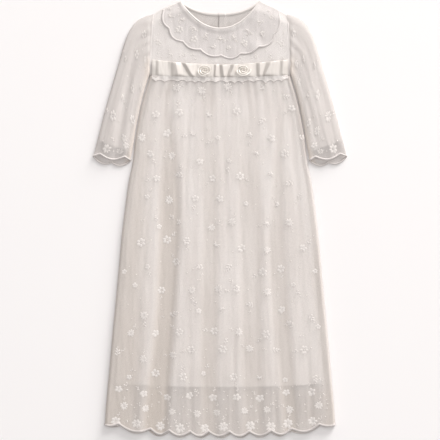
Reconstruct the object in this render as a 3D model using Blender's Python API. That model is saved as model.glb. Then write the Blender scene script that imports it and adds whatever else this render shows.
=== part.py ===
"""A child's long lace dress, laid flat on its back with its panels lying on each other.

Metres, +Z up. The dress rests on z = 0 with its neck towards +Y and its front up, and x = 0 is its
middle line. Left and right are the wearer's, so the left sleeve lies at +X. Each piece of cloth is a
grid laid out by a function of its own sizes, and a Solidify modifier gives it its wall.
"""

import math
from collections import namedtuple

import bmesh
import bpy
from mathutils import Vector

MM = 0.001

# Cloth
WALL = 1.0 * MM
SEAM_GAP = 0.3 * MM
LAY_GAP = 0.5 * MM  # from a panel to what lies on it
MERGE = 0.02 * MM

# Heights of the layers above the floor: the outer face of each, where the cloth lies flat
LINING_BACK_Z = 1.3 * MM
LINING_FRONT_Z = 3.6 * MM
LACE_FRONT_Z = 5.0 * MM
YOKE_BACK_Z = 1.3 * MM  # the back of the collar lies under it
SHOULDER_Z = 3.6 * MM
YOKE_FRONT_Z = YOKE_BACK_Z + LACE_FRONT_Z

# Waist seam, high under the arms
SEAM_Y = 231.0 * MM
SEAM_SAG = 3.5 * MM
SEAM_HALF = 112.5 * MM
LIFT_REACH = 40.0 * MM  # the skirt comes down to the floor over this much below the seam

# Hem
HEM_Y = -347.0 * MM
HEM_RISE = 18.0 * MM  # at the side seams
BACK_HEM_DROP = 5.0 * MM
HEM_SCALLOP_DEPTH = 7.5 * MM
HEM_SCALLOP_START = 0.95
# The points between the scallops, as shares of the half width
HEM_POINTS = (-1.08, -0.88, -0.60, -0.44, -0.26, -0.10, 0.08, 0.25, 0.44, 0.62, 0.86, 1.08)
LINING_HEM_Y = -268.0 * MM
LINING_HEM_RISE = 6.0 * MM
LINING_INSET_TOP = 7.0 * MM
LINING_INSET_HEM = 13.0 * MM

# Grids of the skirt's panels
FRONT_COLUMNS = 70
FRONT_ROWS = 13
BACK_COLUMNS = 54
BACK_ROWS = 7
LINING_FRONT_COLUMNS = 40
LINING_BACK_COLUMNS = 10
LINING_ROWS = 7
ROW_CROWDING = 0.7

# Side folds of the flattened skirt, as shares of the half width and in heights
SIDE_FOLD_START = 0.965
SIDE_FOLD_MIDDLE = 0.985
FRONT_EDGE_Z = 3.2 * MM
FRONT_EDGE_REACH = 6.0 * MM
BACK_EDGE_Z = 1.0 * MM
BACK_EDGE_REACH = 4.0 * MM

# Gathers under the waist seam
GATHERS = 14
GATHER_HEIGHT = 1.6 * MM
GATHER_FADE = 90.0 * MM
FOLD_GROWTH = 0.7
SKIRT_CREST = 3.6 * MM  # gathers and folds together, just under the seam
LINING_FOLD_SHARE = 0.4
LINING_FOLD_NARROWING = 0.8
LINING_FOLD_LEAST = 0.1  # the lining follows the folds that are wider than this

# Yoke and neck
NECK_HALF = 62.4 * MM
NECK_TIP_Y = 350.0 * MM
NECK_SHARE = 0.62  # of the yoke's columns, those that end on the neckline
FRONT_NECK_DROP = 42.4 * MM
FRONT_NECK_POWER = 2.1
BACK_NECK_DROP = 18.4 * MM
BACK_NECK_POWER = 2.5
SHOULDER_X = 107.0 * MM
SHOULDER_Y = 329.0 * MM
SHOULDER_BOW = 2.5 * MM
UNDERARM_X = 112.8 * MM
UNDERARM_Y = 232.0 * MM
RISE_REACH = 18.0 * MM  # the front comes up off the back over this much from an edge
PLACKET_UNDER_X = 6.0 * MM
PLACKET_OVER_X = -2.4 * MM
PLACKET_SLOPE = 6.0 * MM

# Collar
COLLAR_LOBES = 8
COLLAR_LOBE_DEPTH = 5.0 * MM
COLLAR_RIPPLES = 5
COLLAR_RIPPLE_HEIGHT = 2.2 * MM
COLLAR_ROLL_HEIGHT = 1.6 * MM
COLLAR_BACK_GAP = 1.2 * MM
COLLAR_BACK_LOBES = 4

# Ribbon, its roses and the narrow frill under it
RIBBON_HALF = 109.0 * MM
RIBBON_WIDTH = 25.0 * MM
RIBBON_GAP = 0.9 * MM  # over the yoke, which turns down at its sides
RUCHES = 11
RUCHE_HEIGHT = 2.6 * MM
RUCHE_LEAN = 0.45
RUCHE_LEAN_TURNS = 2.5
ROSE_RADIUS = 11.5 * MM
ROSE_HEIGHT = 6.0 * MM
ROSE_RISE = 11.5 * MM  # above the seam
ROSE_SEGMENTS = 16
ROSE_X = {"rose_right": -24.0 * MM, "rose_left": 38.0 * MM}
ROSE_BED = 12.5 * MM  # the ribbon is level this far from a rose's middle
ROSE_BED_EDGE = 6.0 * MM
FRILL_WIDTH = 10.0 * MM
FRILL_LOBES = 14
FRILL_LOBE_DEPTH = 2.5 * MM
FRILL_WAVE_HEIGHT = 1.2 * MM

# Sleeves
SLEEVE_EDGE_RADIUS = 3.0 * MM
SLEEVE_CROWN_POWER = 2.6
CUFF_SCALLOPS = 3
CUFF_SCALLOP_DEPTH = 7.0 * MM
CUFF_UNDER_DROP = 12.0 * MM  # the under layer of the cuff reaches past the upper one

# Back buttons
BUTTON_SEGMENTS = 16
BUTTON_RADIUS = 4.5 * MM
BUTTON_THICKNESS = 0.8 * MM
BUTTON_FLOOR_GAP = 0.2 * MM
BUTTON_X = 2.0 * MM
BUTTON_Y = (282.0 * MM, 262.0 * MM, 242.0 * MM)

# Half the skirt's width at a height below the waist seam
Side = namedtuple("Side", "below half")
SKIRT_SIDE = [
    Side(0.0, 112.5),
    Side(6.0, 113.6),
    Side(34.0, 122.0),
    Side(64.0, 129.0),
    Side(96.0, 134.5),
    Side(126.0, 138.4),
    Side(145.0, 141.2),
    Side(168.0, 146.2),
    Side(213.0, 152.4),
    Side(262.0, 158.2),
    Side(309.0, 162.4),
    Side(357.0, 166.8),
    Side(405.0, 171.6),
    Side(453.0, 175.9),
    Side(501.0, 180.2),
    Side(533.0, 183.0),
    Side(582.0, 186.0),
]

# The folds of the front skirt: place and half width as shares of the half width, heights in mm
Fold = namedtuple("Fold", "across half_width at_seam at_hem")
SKIRT_FOLDS = [
    Fold(-0.85, 0.09, 1.0, 4.6),
    Fold(-0.64, 0.15, 2.0, 7.6),
    Fold(-0.43, 0.07, 1.2, 4.4),
    Fold(-0.31, 0.07, 1.0, 3.6),
    Fold(-0.19, 0.07, 1.6, 5.0),
    Fold(-0.05, 0.07, 1.2, 3.8),
    Fold(0.14, 0.12, 1.6, 6.4),
    Fold(0.47, 0.17, 1.8, 7.6),
    Fold(0.71, 0.09, 1.6, 5.4),
    Fold(0.87, 0.07, 1.0, 4.0),
]

# Sections of the flattened sleeve, from the armhole to the cuff. The outer edge carries on the
# shoulder line, the inner edge starts under the arm, and base is the underside's height.
Section = namedtuple("Section", "outer_x outer_y inner_x inner_y base height")
SLEEVE = [
    Section(107.2, 329.0, 113.0, 232.0, 1.3, 6.4),
    Section(121.0, 325.3, 115.4, 226.0, 1.0, 7.0),
    Section(134.0, 317.5, 118.4, 217.0, 0.5, 7.8),
    Section(145.0, 303.0, 121.6, 206.0, 0.1, 8.4),
    Section(153.2, 283.0, 124.8, 194.0, 0.0, 8.6),
    Section(159.8, 260.0, 128.0, 180.0, 0.0, 8.6),
    Section(167.0, 235.0, 131.2, 165.0, 0.0, 8.6),
    Section(175.0, 208.0, 134.4, 149.0, 0.0, 8.6),
    Section(182.8, 181.0, 137.0, 133.0, 0.0, 8.5),
    Section(190.0, 153.0, 139.2, 119.0, 0.0, 8.4),
    Section(196.5, 127.0, 141.4, 108.0, 0.0, 8.0),
    Section(202.5, 104.0, 143.2, 97.0, 0.0, 6.0),
]
LINING_SECTIONS = 11  # the sleeve's lining stops one section above the cuff
SLEEVE_LINING_INSET = 1.4 * MM
SLEEVE_LINING_EDGE_INSET = 2.9 * MM

# Long folds of the sleeve: place and half width as shares of the half width, heights in mm
SLEEVE_FOLDS = [
    Fold(-0.42, 0.30, 0.6, 2.2),
    Fold(0.22, 0.34, 0.8, 2.6),
]

# The collar from the neckline outwards: shares of its width and of its roll's height
CollarRow = namedtuple("CollarRow", "out roll")
COLLAR_ROWS = [
    CollarRow(0.0, 0.2),
    CollarRow(0.06, 1.0),
    CollarRow(0.22, 0.6),
    CollarRow(0.5, 0.15),
    CollarRow(0.78, 0.0),
    CollarRow(1.0, 0.0),
]

# The collar's lower edge on the front, from the right shoulder to the left
Edge = namedtuple("Edge", "along x y")
COLLAR_EDGE = [
    Edge(-1.00, -95.0, 334.5),
    Edge(-0.86, -92.0, 316.0),
    Edge(-0.72, -84.0, 300.0),
    Edge(-0.58, -72.0, 287.0),
    Edge(-0.44, -56.0, 277.5),
    Edge(-0.30, -40.0, 270.0),
    Edge(-0.15, -20.0, 262.5),
    Edge(0.00, 2.0, 257.5),
    Edge(0.15, 22.0, 257.5),
    Edge(0.30, 41.0, 263.0),
    Edge(0.44, 58.0, 270.0),
    Edge(0.58, 75.0, 277.0),
    Edge(0.72, 89.0, 290.0),
    Edge(0.86, 96.0, 309.0),
    Edge(1.00, 98.0, 333.0),
]
# The collar's lower edge on one side of the back, from the middle to the shoulder
COLLAR_BACK_EDGE = [
    Edge(0.00, 1.2, 296.0),
    Edge(0.25, 26.0, 297.0),
    Edge(0.50, 51.0, 302.0),
    Edge(0.75, 76.0, 313.0),
    Edge(1.00, 95.0, 334.5),
]

# A ribbon rose from its middle round its rim to its foot, as shares of its radius and height
Turn = namedtuple("Turn", "radius height")
ROSE_TURNS = [
    Turn(0.0, 0.82),
    Turn(0.14, 1.0),
    Turn(0.28, 0.7),
    Turn(0.46, 0.92),
    Turn(0.6, 0.56),
    Turn(0.8, 0.74),
    Turn(1.0, 0.3),
    Turn(0.94, 0.0),
    Turn(0.0, 0.0),
]

LACE = ("lace", (0.86, 0.82, 0.78), 0.85)
LINING = ("lining", (0.90, 0.86, 0.83), 0.6)
SATIN = ("satin", (0.93, 0.90, 0.85), 0.3)
BUTTON = ("button", (0.92, 0.90, 0.87), 0.35)


def clear_scene():
    for obj in list(bpy.data.objects):
        bpy.data.objects.remove(obj, do_unlink=True)


def material(name, colour, roughness):
    found = bpy.data.materials.get(name)
    if found:
        return found
    made = bpy.data.materials.new(name)
    made.use_nodes = True
    shader = made.node_tree.nodes["Principled BSDF"]
    shader.inputs["Base Color"].default_value = (*colour, 1.0)
    shader.inputs["Roughness"].default_value = roughness
    shader.inputs["Metallic"].default_value = 0.0
    return made


# Curves and tables

def ease(share):
    """From 0 to 1, level at both ends."""
    share = min(max(share, 0.0), 1.0)
    return share * share * (3 - 2 * share)


def mix(first, second, share):
    return first + (second - first) * share


def bump(offset):
    """A rounded ridge of height 1 that is level and 0 past an offset of 1."""
    return math.cos(math.pi * offset / 2) ** 2 if abs(offset) < 1 else 0.0


def read(table, key, column, at):
    """A column of a table in millimetres at a place between its rows, on a smooth curve."""
    keys = [getattr(row, key) for row in table]
    values = [getattr(row, column) for row in table]
    at = min(max(at, keys[0]), keys[-1])
    row = max(i for i in range(len(keys) - 1) if keys[i] <= at)
    before, after = max(row - 1, 0), min(row + 2, len(keys) - 1)
    span = keys[row + 1] - keys[row]
    share = (at - keys[row]) / span
    slope_in = (values[row + 1] - values[before]) / (keys[row + 1] - keys[before]) * span
    slope_out = (values[after] - values[row]) / (keys[after] - keys[row]) * span
    square, cube = share * share, share ** 3
    return (
        values[row] * (2 * cube - 3 * square + 1)
        + slope_in * (cube - 2 * square + share)
        + values[row + 1] * (3 * square - 2 * cube)
        + slope_out * (cube - square)
    )


def wave(turns):
    """0 at each whole turn and 1 between them."""
    return 0.5 - 0.5 * math.cos(2 * math.pi * turns)


def scallop(share, lobes):
    """0 at the points between the lobes of a scalloped edge, 1 at their middles."""
    return abs(math.sin(math.pi * lobes * share))


# Cloth

def cloth(name, finish, columns, rows, place, closed=False, flip=False):
    """A wall of cloth. place(across, along) gives its outer face for shares of its grid from 0 to 1,
    and the wall lies behind that face. A closed cloth is a tube: its first and last columns meet."""
    shape = bmesh.new()
    bmesh.ops.create_grid(shape, x_segments=columns, y_segments=rows, size=0.5)
    for vert in shape.verts:
        vert.co = place(round((vert.co.x + 0.5) * columns) / columns, round((vert.co.y + 0.5) * rows) / rows)
    if closed:
        bmesh.ops.remove_doubles(shape, verts=shape.verts[:], dist=MERGE)
    if flip:
        bmesh.ops.reverse_faces(shape, faces=shape.faces[:])
    obj = solid(name, finish, shape)
    wall = obj.modifiers.new("Wall", "SOLIDIFY")
    wall.thickness = WALL
    wall.offset = -1.0
    wall.use_even_offset = True
    wall.use_quality_normals = True
    return obj


def solid(name, finish, shape):
    mesh = bpy.data.meshes.new(name)
    shape.to_mesh(mesh)
    shape.free()
    mesh.shade_smooth()
    obj = bpy.data.objects.new(name, mesh)
    obj.data.materials.append(material(*finish))
    bpy.context.scene.collection.objects.link(obj)
    return obj


# The skirt

def skirt_column(across, columns):
    """The place across the skirt, -1 to 1, of a column. The last two at each side lie in the side fold."""
    index = round(across * columns)
    side = -1 if index < columns / 2 else 1
    from_edge = min(index, columns - index)
    if from_edge == 0:
        return side
    if from_edge == 1:
        return side * SIDE_FOLD_MIDDLE
    return mix(-SIDE_FOLD_START, SIDE_FOLD_START, (index - 2) / (columns - 4))


def skirt_row(along):
    """Rows crowd together at the gathers and at the hem."""
    return along - ROW_CROWDING * math.sin(2 * math.pi * along) / (2 * math.pi)


def seam_y(u):
    return SEAM_Y - SEAM_SAG * (1 - u * u)


def skirt_half(y):
    return read(SKIRT_SIDE, "below", "half", (SEAM_Y - y) / MM) * MM


def lift(y):
    """How far the skirt's layers are raised where they meet the yoke."""
    return YOKE_BACK_Z * (1 - ease((SEAM_Y - y) / LIFT_REACH))


def folds(u, down, share=1.0, narrowing=1.0, least=0.0):
    """The height of the skirt's folds, down from 0 at the waist seam to 1 at the hem."""
    height = 0.0
    for fold in SKIRT_FOLDS:
        if fold.half_width > least:
            tall = mix(fold.at_seam, fold.at_hem, down ** FOLD_GROWTH) * MM
            height += tall * bump((u - fold.across) / (fold.half_width * narrowing))
    return height * share


def gathers(u, y):
    return GATHER_HEIGHT * wave(GATHERS * (u + 1) / 2) * math.exp(-(SEAM_Y - y) / GATHER_FADE)


def hem_scallop(u):
    """0 at the points of the hem, 1 at the middles of the scallops between them."""
    for start, end in zip(HEM_POINTS, HEM_POINTS[1:]):
        if start <= u <= end:
            return math.sin(math.pi * (u - start) / (end - start))
    return 0.0


def lace_row_y(u, down, back=False):
    """The height on the page of a row of the lace. The back is a little longer than the front."""
    top = seam_y(u) - SEAM_GAP
    drop = BACK_HEM_DROP * (1 - u ** 8) if back else 0.0
    hem = HEM_Y - drop + HEM_RISE * abs(u) ** 3
    cut = HEM_SCALLOP_DEPTH * (1 - hem_scallop(-u if back else u))
    weight = ease((down - HEM_SCALLOP_START) / (1 - HEM_SCALLOP_START))
    return mix(top, hem, down) + cut * weight


def skirt_front_z(u, y, down):
    level = lift(y) + LACE_FRONT_Z + folds(u, down) + gathers(u, y)
    inside = min((1 - abs(u)) * skirt_half(y) / FRONT_EDGE_REACH, 1.0)
    return mix(FRONT_EDGE_Z, level, math.sqrt(1 - (1 - inside) ** 2))


def make_skirt_front():
    def place(across, along):
        u, down = skirt_column(across, FRONT_COLUMNS), skirt_row(along)
        y = lace_row_y(u, down)
        return Vector((u * skirt_half(y), y, skirt_front_z(u, y, down)))

    cloth("skirt_front", LACE, FRONT_COLUMNS, FRONT_ROWS, place, flip=True)


def make_skirt_back():
    def place(across, along):
        u, down = skirt_column(across, BACK_COLUMNS), skirt_row(along)
        y = lace_row_y(u, down, back=True)
        inside = min((1 - abs(u)) * skirt_half(y) / BACK_EDGE_REACH, 1.0)
        z = mix(BACK_EDGE_Z, lift(y), 1 - (1 - inside) ** 2)
        return Vector((u * skirt_half(y), y, z))

    cloth("skirt_back", LACE, BACK_COLUMNS, BACK_ROWS, place)


def lining_point(u, along, z_at):
    """A point of the skirt's lining, which is narrower and shorter than the lace."""
    seam_share = u * (1 - LINING_INSET_TOP / SEAM_HALF)
    top = seam_y(seam_share) - SEAM_GAP
    y = mix(top, LINING_HEM_Y + LINING_HEM_RISE * u * u, along)
    half = skirt_half(y) - mix(LINING_INSET_TOP, LINING_INSET_HEM, along)
    down = (top - y) / (top - HEM_Y)
    return Vector((u * half, y, z_at(u * half / skirt_half(y), y, down)))


def make_lining():
    def front_z(u, y, down):
        bend = folds(u, down, LINING_FOLD_SHARE, LINING_FOLD_NARROWING, LINING_FOLD_LEAST)
        return lift(y) + LINING_FRONT_Z + bend

    def back_z(u, y, down):
        return lift(y) + LINING_BACK_Z

    def front(across, along):
        return lining_point(2 * across - 1, skirt_row(along), front_z)

    def back(across, along):
        return lining_point(2 * across - 1, skirt_row(along), back_z)

    cloth("lining_front", LINING, LINING_FRONT_COLUMNS, LINING_ROWS, front, flip=True)
    cloth("lining_back", LINING, LINING_BACK_COLUMNS, LINING_ROWS, back)


# The yoke

def shoulder_y(x):
    """The shoulder line, level across the neck."""
    share = min(max((abs(x) - NECK_HALF) / (SHOULDER_X - NECK_HALF), 0.0), 1.0)
    return mix(NECK_TIP_Y, SHOULDER_Y, share) + SHOULDER_BOW * math.sin(math.pi * share)


def neck_y(x, drop, power):
    return NECK_TIP_Y - drop * (1 - min(abs(x) / NECK_HALF, 1.0) ** power)


def yoke_top(c, drop, power):
    """The upper edge of the yoke at a column from -1 to 1: the neckline, then the shoulder."""
    if abs(c) <= NECK_SHARE:
        x = NECK_HALF * c / NECK_SHARE
        return x, neck_y(x, drop, power)
    share = (abs(c) - NECK_SHARE) / (1 - NECK_SHARE)
    x = math.copysign(mix(NECK_HALF, SHOULDER_X, share), c)
    return x, shoulder_y(x)


def armhole_x(y):
    return mix(SHOULDER_X, UNDERARM_X, (SHOULDER_Y - y) / (SHOULDER_Y - UNDERARM_Y))


def yoke_front_z(x, y):
    """The front lies low at the shoulder seam and at the underarm, and stands off the back between."""
    from_shoulder = ease((shoulder_y(x) - y) / RISE_REACH)
    from_underarm = ease(math.hypot(abs(x) - UNDERARM_X, y - UNDERARM_Y) / RISE_REACH)
    return mix(SHOULDER_Z, YOKE_FRONT_Z, from_shoulder * from_underarm)


def yoke_point(c, along, drop, power):
    """A point of the yoke in plan. along runs from the upper edge to the waist seam."""
    top_x, top_y = yoke_top(c, drop, power)
    foot_x, foot_y = SEAM_HALF * c, seam_y(c)
    x, y = mix(top_x, foot_x, along), mix(top_y, foot_y, along)
    limit = armhole_x(y)
    return min(max(x, -limit), limit), y


def make_yoke_front():
    columns, rows = 28, 7

    def place(across, along):
        x, y = yoke_point(2 * across - 1, along, FRONT_NECK_DROP, FRONT_NECK_POWER)
        return Vector((x, y, yoke_front_z(x, y)))

    cloth("yoke_front", LACE, columns, rows, place, flip=True)


def make_yoke_back():
    """Two halves that overlap at the middle: the left one lies inside, over the right one."""
    columns, rows = 14, 5

    def half(side, first_columns, height_at):
        def place(across, along):
            x, y = yoke_point(side * across, along, BACK_NECK_DROP, BACK_NECK_POWER)
            index = round(across * columns)
            if index < len(first_columns):
                x = first_columns[index]
            return Vector((x, y, height_at(x)))

        return place

    def under(x):
        return YOKE_BACK_Z

    def over(x):
        raised = 1 - ease((x - step_x) / PLACKET_SLOPE)
        return YOKE_BACK_Z + (WALL + SEAM_GAP) * raised

    step_x = PLACKET_UNDER_X + SEAM_GAP
    left = half(1, (PLACKET_OVER_X, step_x, step_x + PLACKET_SLOPE), over)
    right = half(-1, (PLACKET_UNDER_X, -PLACKET_SLOPE), under)
    cloth("yoke_back_left", LACE, columns, rows, left)
    cloth("yoke_back_right", LACE, columns, rows, right, flip=True)


# The collar

def collar_inner(c, drop, power):
    x = NECK_HALF * c
    return x, neck_y(x, drop, power)


def make_collar_front():
    columns, rows = 48, len(COLLAR_ROWS) - 1

    def place(across, along):
        c, row = 2 * across - 1, COLLAR_ROWS[round(along * rows)]
        inner_x, inner_y = collar_inner(c, FRONT_NECK_DROP, FRONT_NECK_POWER)
        outer_x = read(COLLAR_EDGE, "along", "x", c) * MM
        outer_y = read(COLLAR_EDGE, "along", "y", c) * MM
        out = row.out
        reach = math.hypot(outer_x - inner_x, outer_y - inner_y)
        cut = COLLAR_LOBE_DEPTH * (1 - scallop(across, COLLAR_LOBES)) / reach * out ** 4
        x, y = mix(inner_x, outer_x, out - cut), mix(inner_y, outer_y, out - cut)
        ripple = COLLAR_RIPPLE_HEIGHT * wave(COLLAR_RIPPLES * across) * out * out
        rise = COLLAR_ROLL_HEIGHT * row.roll + ripple
        return Vector((x, y, yoke_front_z(x, y) + LAY_GAP + WALL + rise))

    cloth("collar_front", LACE, columns, rows, place, flip=True)


def make_collar_back():
    columns, rows = 20, 3

    def half(side):
        def place(across, along):
            inner_x, inner_y = collar_inner(across, BACK_NECK_DROP, BACK_NECK_POWER)
            inner_x = max(inner_x, COLLAR_BACK_GAP)
            outer_x = read(COLLAR_BACK_EDGE, "along", "x", across) * MM
            outer_y = read(COLLAR_BACK_EDGE, "along", "y", across) * MM
            reach = math.hypot(outer_x - inner_x, outer_y - inner_y)
            cut = COLLAR_LOBE_DEPTH * (1 - scallop(across, COLLAR_BACK_LOBES)) / reach * along ** 4
            x, y = mix(inner_x, outer_x, along - cut), mix(inner_y, outer_y, along - cut)
            return Vector((side * x, y, 0.0))

        return place

    cloth("collar_back_left", LACE, columns, rows, half(1))
    cloth("collar_back_right", LACE, columns, rows, half(-1), flip=True)


# The ribbon, its roses and the frill

def rose_bed(x):
    """0 at a rose, where the ribbon lies level, and 1 clear of them."""
    return min(ease((abs(x - rose_x) - ROSE_BED) / ROSE_BED_EDGE) for rose_x in ROSE_X.values())


def make_ribbon():
    columns, rows = 60, 3

    def place(across, along):
        x = mix(-RIBBON_HALF, RIBBON_HALF, across)
        y = seam_y(x / SEAM_HALF) + LAY_GAP + RIBBON_WIDTH * (1 - along)
        lean = RUCHE_LEAN * math.sin(2 * math.pi * RUCHE_LEAN_TURNS * across) * (along - 0.5)
        rise = RUCHE_HEIGHT * wave(RUCHES * across + lean) * rose_bed(x)
        return Vector((x, y, yoke_front_z(x, y) + RIBBON_GAP + WALL + rise))

    cloth("ribbon", SATIN, columns, rows, place, flip=True)


def make_frill():
    columns, rows = 56, 2

    def place(across, along):
        x = mix(-RIBBON_HALF, RIBBON_HALF, across)
        u = x / SEAM_HALF
        cut = FRILL_LOBE_DEPTH * (1 - scallop(across, FRILL_LOBES)) * along
        y = seam_y(u) - SEAM_GAP - FRILL_WIDTH * along + cut
        clear = YOKE_FRONT_Z + SKIRT_CREST + LAY_GAP + WALL
        return Vector((x, y, clear + FRILL_WAVE_HEIGHT * wave(FRILL_LOBES * across) * along))

    cloth("frill", LACE, columns, rows, place, flip=True)


def make_rose(name, x):
    """A rolled ribbon rose, turned from its profile."""
    bed_y = seam_y(x / SEAM_HALF) + ROSE_RISE
    foot = yoke_front_z(x, bed_y) + RIBBON_GAP + WALL + SEAM_GAP
    shape = bmesh.new()
    points = [
        shape.verts.new((x + ROSE_RADIUS * turn.radius, bed_y, foot + ROSE_HEIGHT * turn.height))
        for turn in ROSE_TURNS
    ]
    lines = [shape.edges.new(pair) for pair in zip(points, points[1:])]
    bmesh.ops.spin(
        shape,
        geom=points + lines,
        cent=(x, bed_y, 0.0),
        axis=(0.0, 0.0, 1.0),
        angle=2 * math.pi,
        steps=ROSE_SEGMENTS,
        use_merge=True,
    )
    bmesh.ops.remove_doubles(shape, verts=shape.verts[:], dist=MERGE)
    bmesh.ops.recalc_face_normals(shape, faces=shape.faces[:])
    solid(name, SATIN, shape)


# The sleeves

def sleeve_outline(share, top_columns, arc_columns, foot_columns):
    """A place round the flattened tube: which stretch of it, and how far along that stretch."""
    total = top_columns + foot_columns + 2 * arc_columns
    index = round(share * total)
    for stretch, count in (
        ("top", top_columns),
        ("inner", arc_columns),
        ("foot", foot_columns),
        ("outer", arc_columns),
    ):
        if index <= count:
            return stretch, index / count
        index -= count
    return "top", 0.0


def sleeve_edge(sections, edge, inset):
    """One edge of the sleeve in plan, at each of its sections, taken inwards."""
    up = Vector((0.0, 0.0, 1.0 if edge == "outer" else -1.0))
    points = [Vector((getattr(row, edge + "_x"), getattr(row, edge + "_y"), 0.0)) * MM for row in sections]
    moved = []
    for index, point in enumerate(points):
        run = points[min(index + 1, len(points) - 1)] - points[max(index - 1, 0)]
        point = point + run.normalized().cross(up) * inset
        point.x = max(point.x, armhole_x(point.y) + SEAM_GAP)
        moved.append(point)
    return moved


def sleeve_section(section, half, down, stretch, share, inset):
    """The point (across, height) of one section of a given half width. inset takes its face inwards."""
    radius = SLEEVE_EDGE_RADIUS - inset
    base, top = section.base * MM + inset, (section.base + section.height) * MM - inset
    if stretch == "foot":
        return mix(half - radius, radius - half, share), base
    if stretch == "top":
        across = -math.cos(math.pi * share)
        crown = (1 - min(abs(across), 1.0) ** SLEEVE_CROWN_POWER) ** (1 / SLEEVE_CROWN_POWER)
        height = mix(base + radius, top, crown)
        if inset == 0.0:
            for fold in SLEEVE_FOLDS:
                tall = mix(fold.at_seam, fold.at_hem, down) * MM
                height += tall * bump((across - fold.across) / fold.half_width)
        return half * across, height
    turn = math.pi / 2 * (share if stretch == "inner" else 1 - share)
    across = half - radius + radius * math.cos(turn)
    return (across if stretch == "inner" else -across), base + radius - radius * math.sin(turn)


def sleeve_place(side, sections, columns, inset=0.0, edge_inset=0.0, scalloped=False):
    """Lays a sleeve's tube out from its sections. side is 1 for the left sleeve and -1 for the right."""
    last = len(sections) - 1
    outer_edge = sleeve_edge(sections, "outer", edge_inset)
    inner_edge = sleeve_edge(sections, "inner", edge_inset)

    def place(share, along):
        index = round(along * last)
        stretch, part = sleeve_outline(share, *columns)
        outer, inner = outer_edge[index], inner_edge[index]
        half = (inner - outer).length / 2
        across, z = sleeve_section(sections[index], half, index / last, stretch, part, inset)
        point = (outer + inner) / 2 + (inner - outer).normalized() * across
        if scalloped and index == last:
            down = Vector((0.0, 0.0, 1.0)).cross((inner - outer).normalized())
            over = (across / half + 1) / 4
            round_share = over if stretch == "top" else 1 - over
            reach = CUFF_SCALLOP_DEPTH * (scallop(round_share + 1 / 4, CUFF_SCALLOPS) - 0.5)
            if stretch == "foot":
                reach += CUFF_UNDER_DROP * math.sin(math.pi * part)
            point += down * reach
        return Vector((side * point.x, point.y, z))

    return place


def make_sleeves():
    lace_columns, lining_columns = (14, 2, 6), (14, 2, 2)
    for side, name in ((1, "left"), (-1, "right")):
        place = sleeve_place(side, SLEEVE, lace_columns, scalloped=True)
        total = lace_columns[0] + 2 * lace_columns[1] + lace_columns[2]
        cloth("sleeve_" + name, LACE, total, len(SLEEVE) - 1, place, closed=True, flip=side < 0)
        sections = SLEEVE[:LINING_SECTIONS]
        place = sleeve_place(side, sections, lining_columns, SLEEVE_LINING_INSET, SLEEVE_LINING_EDGE_INSET)
        total = lining_columns[0] + 2 * lining_columns[1] + lining_columns[2]
        cloth("sleeve_lining_" + name, LINING, total, len(sections) - 1, place, closed=True, flip=side < 0)


# The back buttons

def make_buttons():
    for number, y in enumerate(BUTTON_Y, start=1):
        shape = bmesh.new()
        bmesh.ops.create_cone(
            shape,
            cap_ends=True,
            segments=BUTTON_SEGMENTS,
            radius1=BUTTON_RADIUS,
            radius2=BUTTON_RADIUS,
            depth=BUTTON_THICKNESS,
        )
        bmesh.ops.translate(
            shape,
            vec=(BUTTON_X, y, BUTTON_FLOOR_GAP + BUTTON_THICKNESS / 2),
            verts=shape.verts[:],
        )
        solid(f"button_{number}", BUTTON, shape)


def main():
    clear_scene()
    make_skirt_back()
    make_lining()
    make_skirt_front()
    make_yoke_back()
    make_yoke_front()
    make_collar_back()
    make_collar_front()
    make_ribbon()
    make_frill()
    for name, x in ROSE_X.items():
        make_rose(name, x)
    make_sleeves()
    make_buttons()


main()
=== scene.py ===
"""A child's long lace dress, laid flat on its back: net lace with raised embroidery and corded
scallops over a plain lining, a ruched satin ribbon with two rolled roses, and lined sleeves.

Metres, +Z up, neck towards +Y, front up. Left and right are the wearer's."""

import math
import random
from collections import namedtuple

import bmesh
import bpy
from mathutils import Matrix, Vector, noise


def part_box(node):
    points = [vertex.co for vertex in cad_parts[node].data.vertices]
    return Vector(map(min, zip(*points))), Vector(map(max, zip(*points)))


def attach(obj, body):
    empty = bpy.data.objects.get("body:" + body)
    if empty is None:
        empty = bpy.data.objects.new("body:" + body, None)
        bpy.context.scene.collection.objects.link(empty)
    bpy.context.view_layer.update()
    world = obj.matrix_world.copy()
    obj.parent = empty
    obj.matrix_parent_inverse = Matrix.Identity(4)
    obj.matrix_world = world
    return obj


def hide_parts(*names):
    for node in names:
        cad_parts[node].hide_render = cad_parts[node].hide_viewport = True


MM = 0.001
BODY = "root"
UP = Vector((0.0, 0.0, 1.0))
MERGE = 0.01 * MM
SIDES = ((1, "left"), (-1, "right"))

# The cut and lay of the dress. In the tables, lengths are in mm.

SEAM_Y = 231.0 * MM
SEAM_SAG = 3.5 * MM
SEAM_HALF = 112.5 * MM
SEAM_GAP = 0.3 * MM
LIFT = 1.3 * MM
LIFT_REACH = 40.0 * MM

HEM_Y = -347.0 * MM
HEM_RISE = 18.0 * MM
BACK_HEM_DROP = 2.5 * MM
HEM_SCALLOP_DEPTH = 7.5 * MM
HEM_POINTS = (-1.08, -0.88, -0.60, -0.44, -0.26, -0.10, 0.08, 0.25, 0.44, 0.62, 0.86, 1.08)
LINING_HEM_Y = -268.0 * MM
LINING_HEM_RISE = 6.0 * MM
LINING_INSET_TOP = 7.0 * MM
LINING_INSET_HEM = 13.0 * MM

FRONT_Z = 4.4 * MM
FRONT_EDGE_Z = 1.8 * MM
FRONT_EDGE_REACH = 4.5 * MM
SIDE_SEAM_RISE = 1.8 * MM
BACK_Z = 0.7 * MM
LINING_FRONT_Z = 3.4 * MM
LINING_BACK_Z = 1.8 * MM
LINING_RISE_SHARE = 0.5

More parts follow.
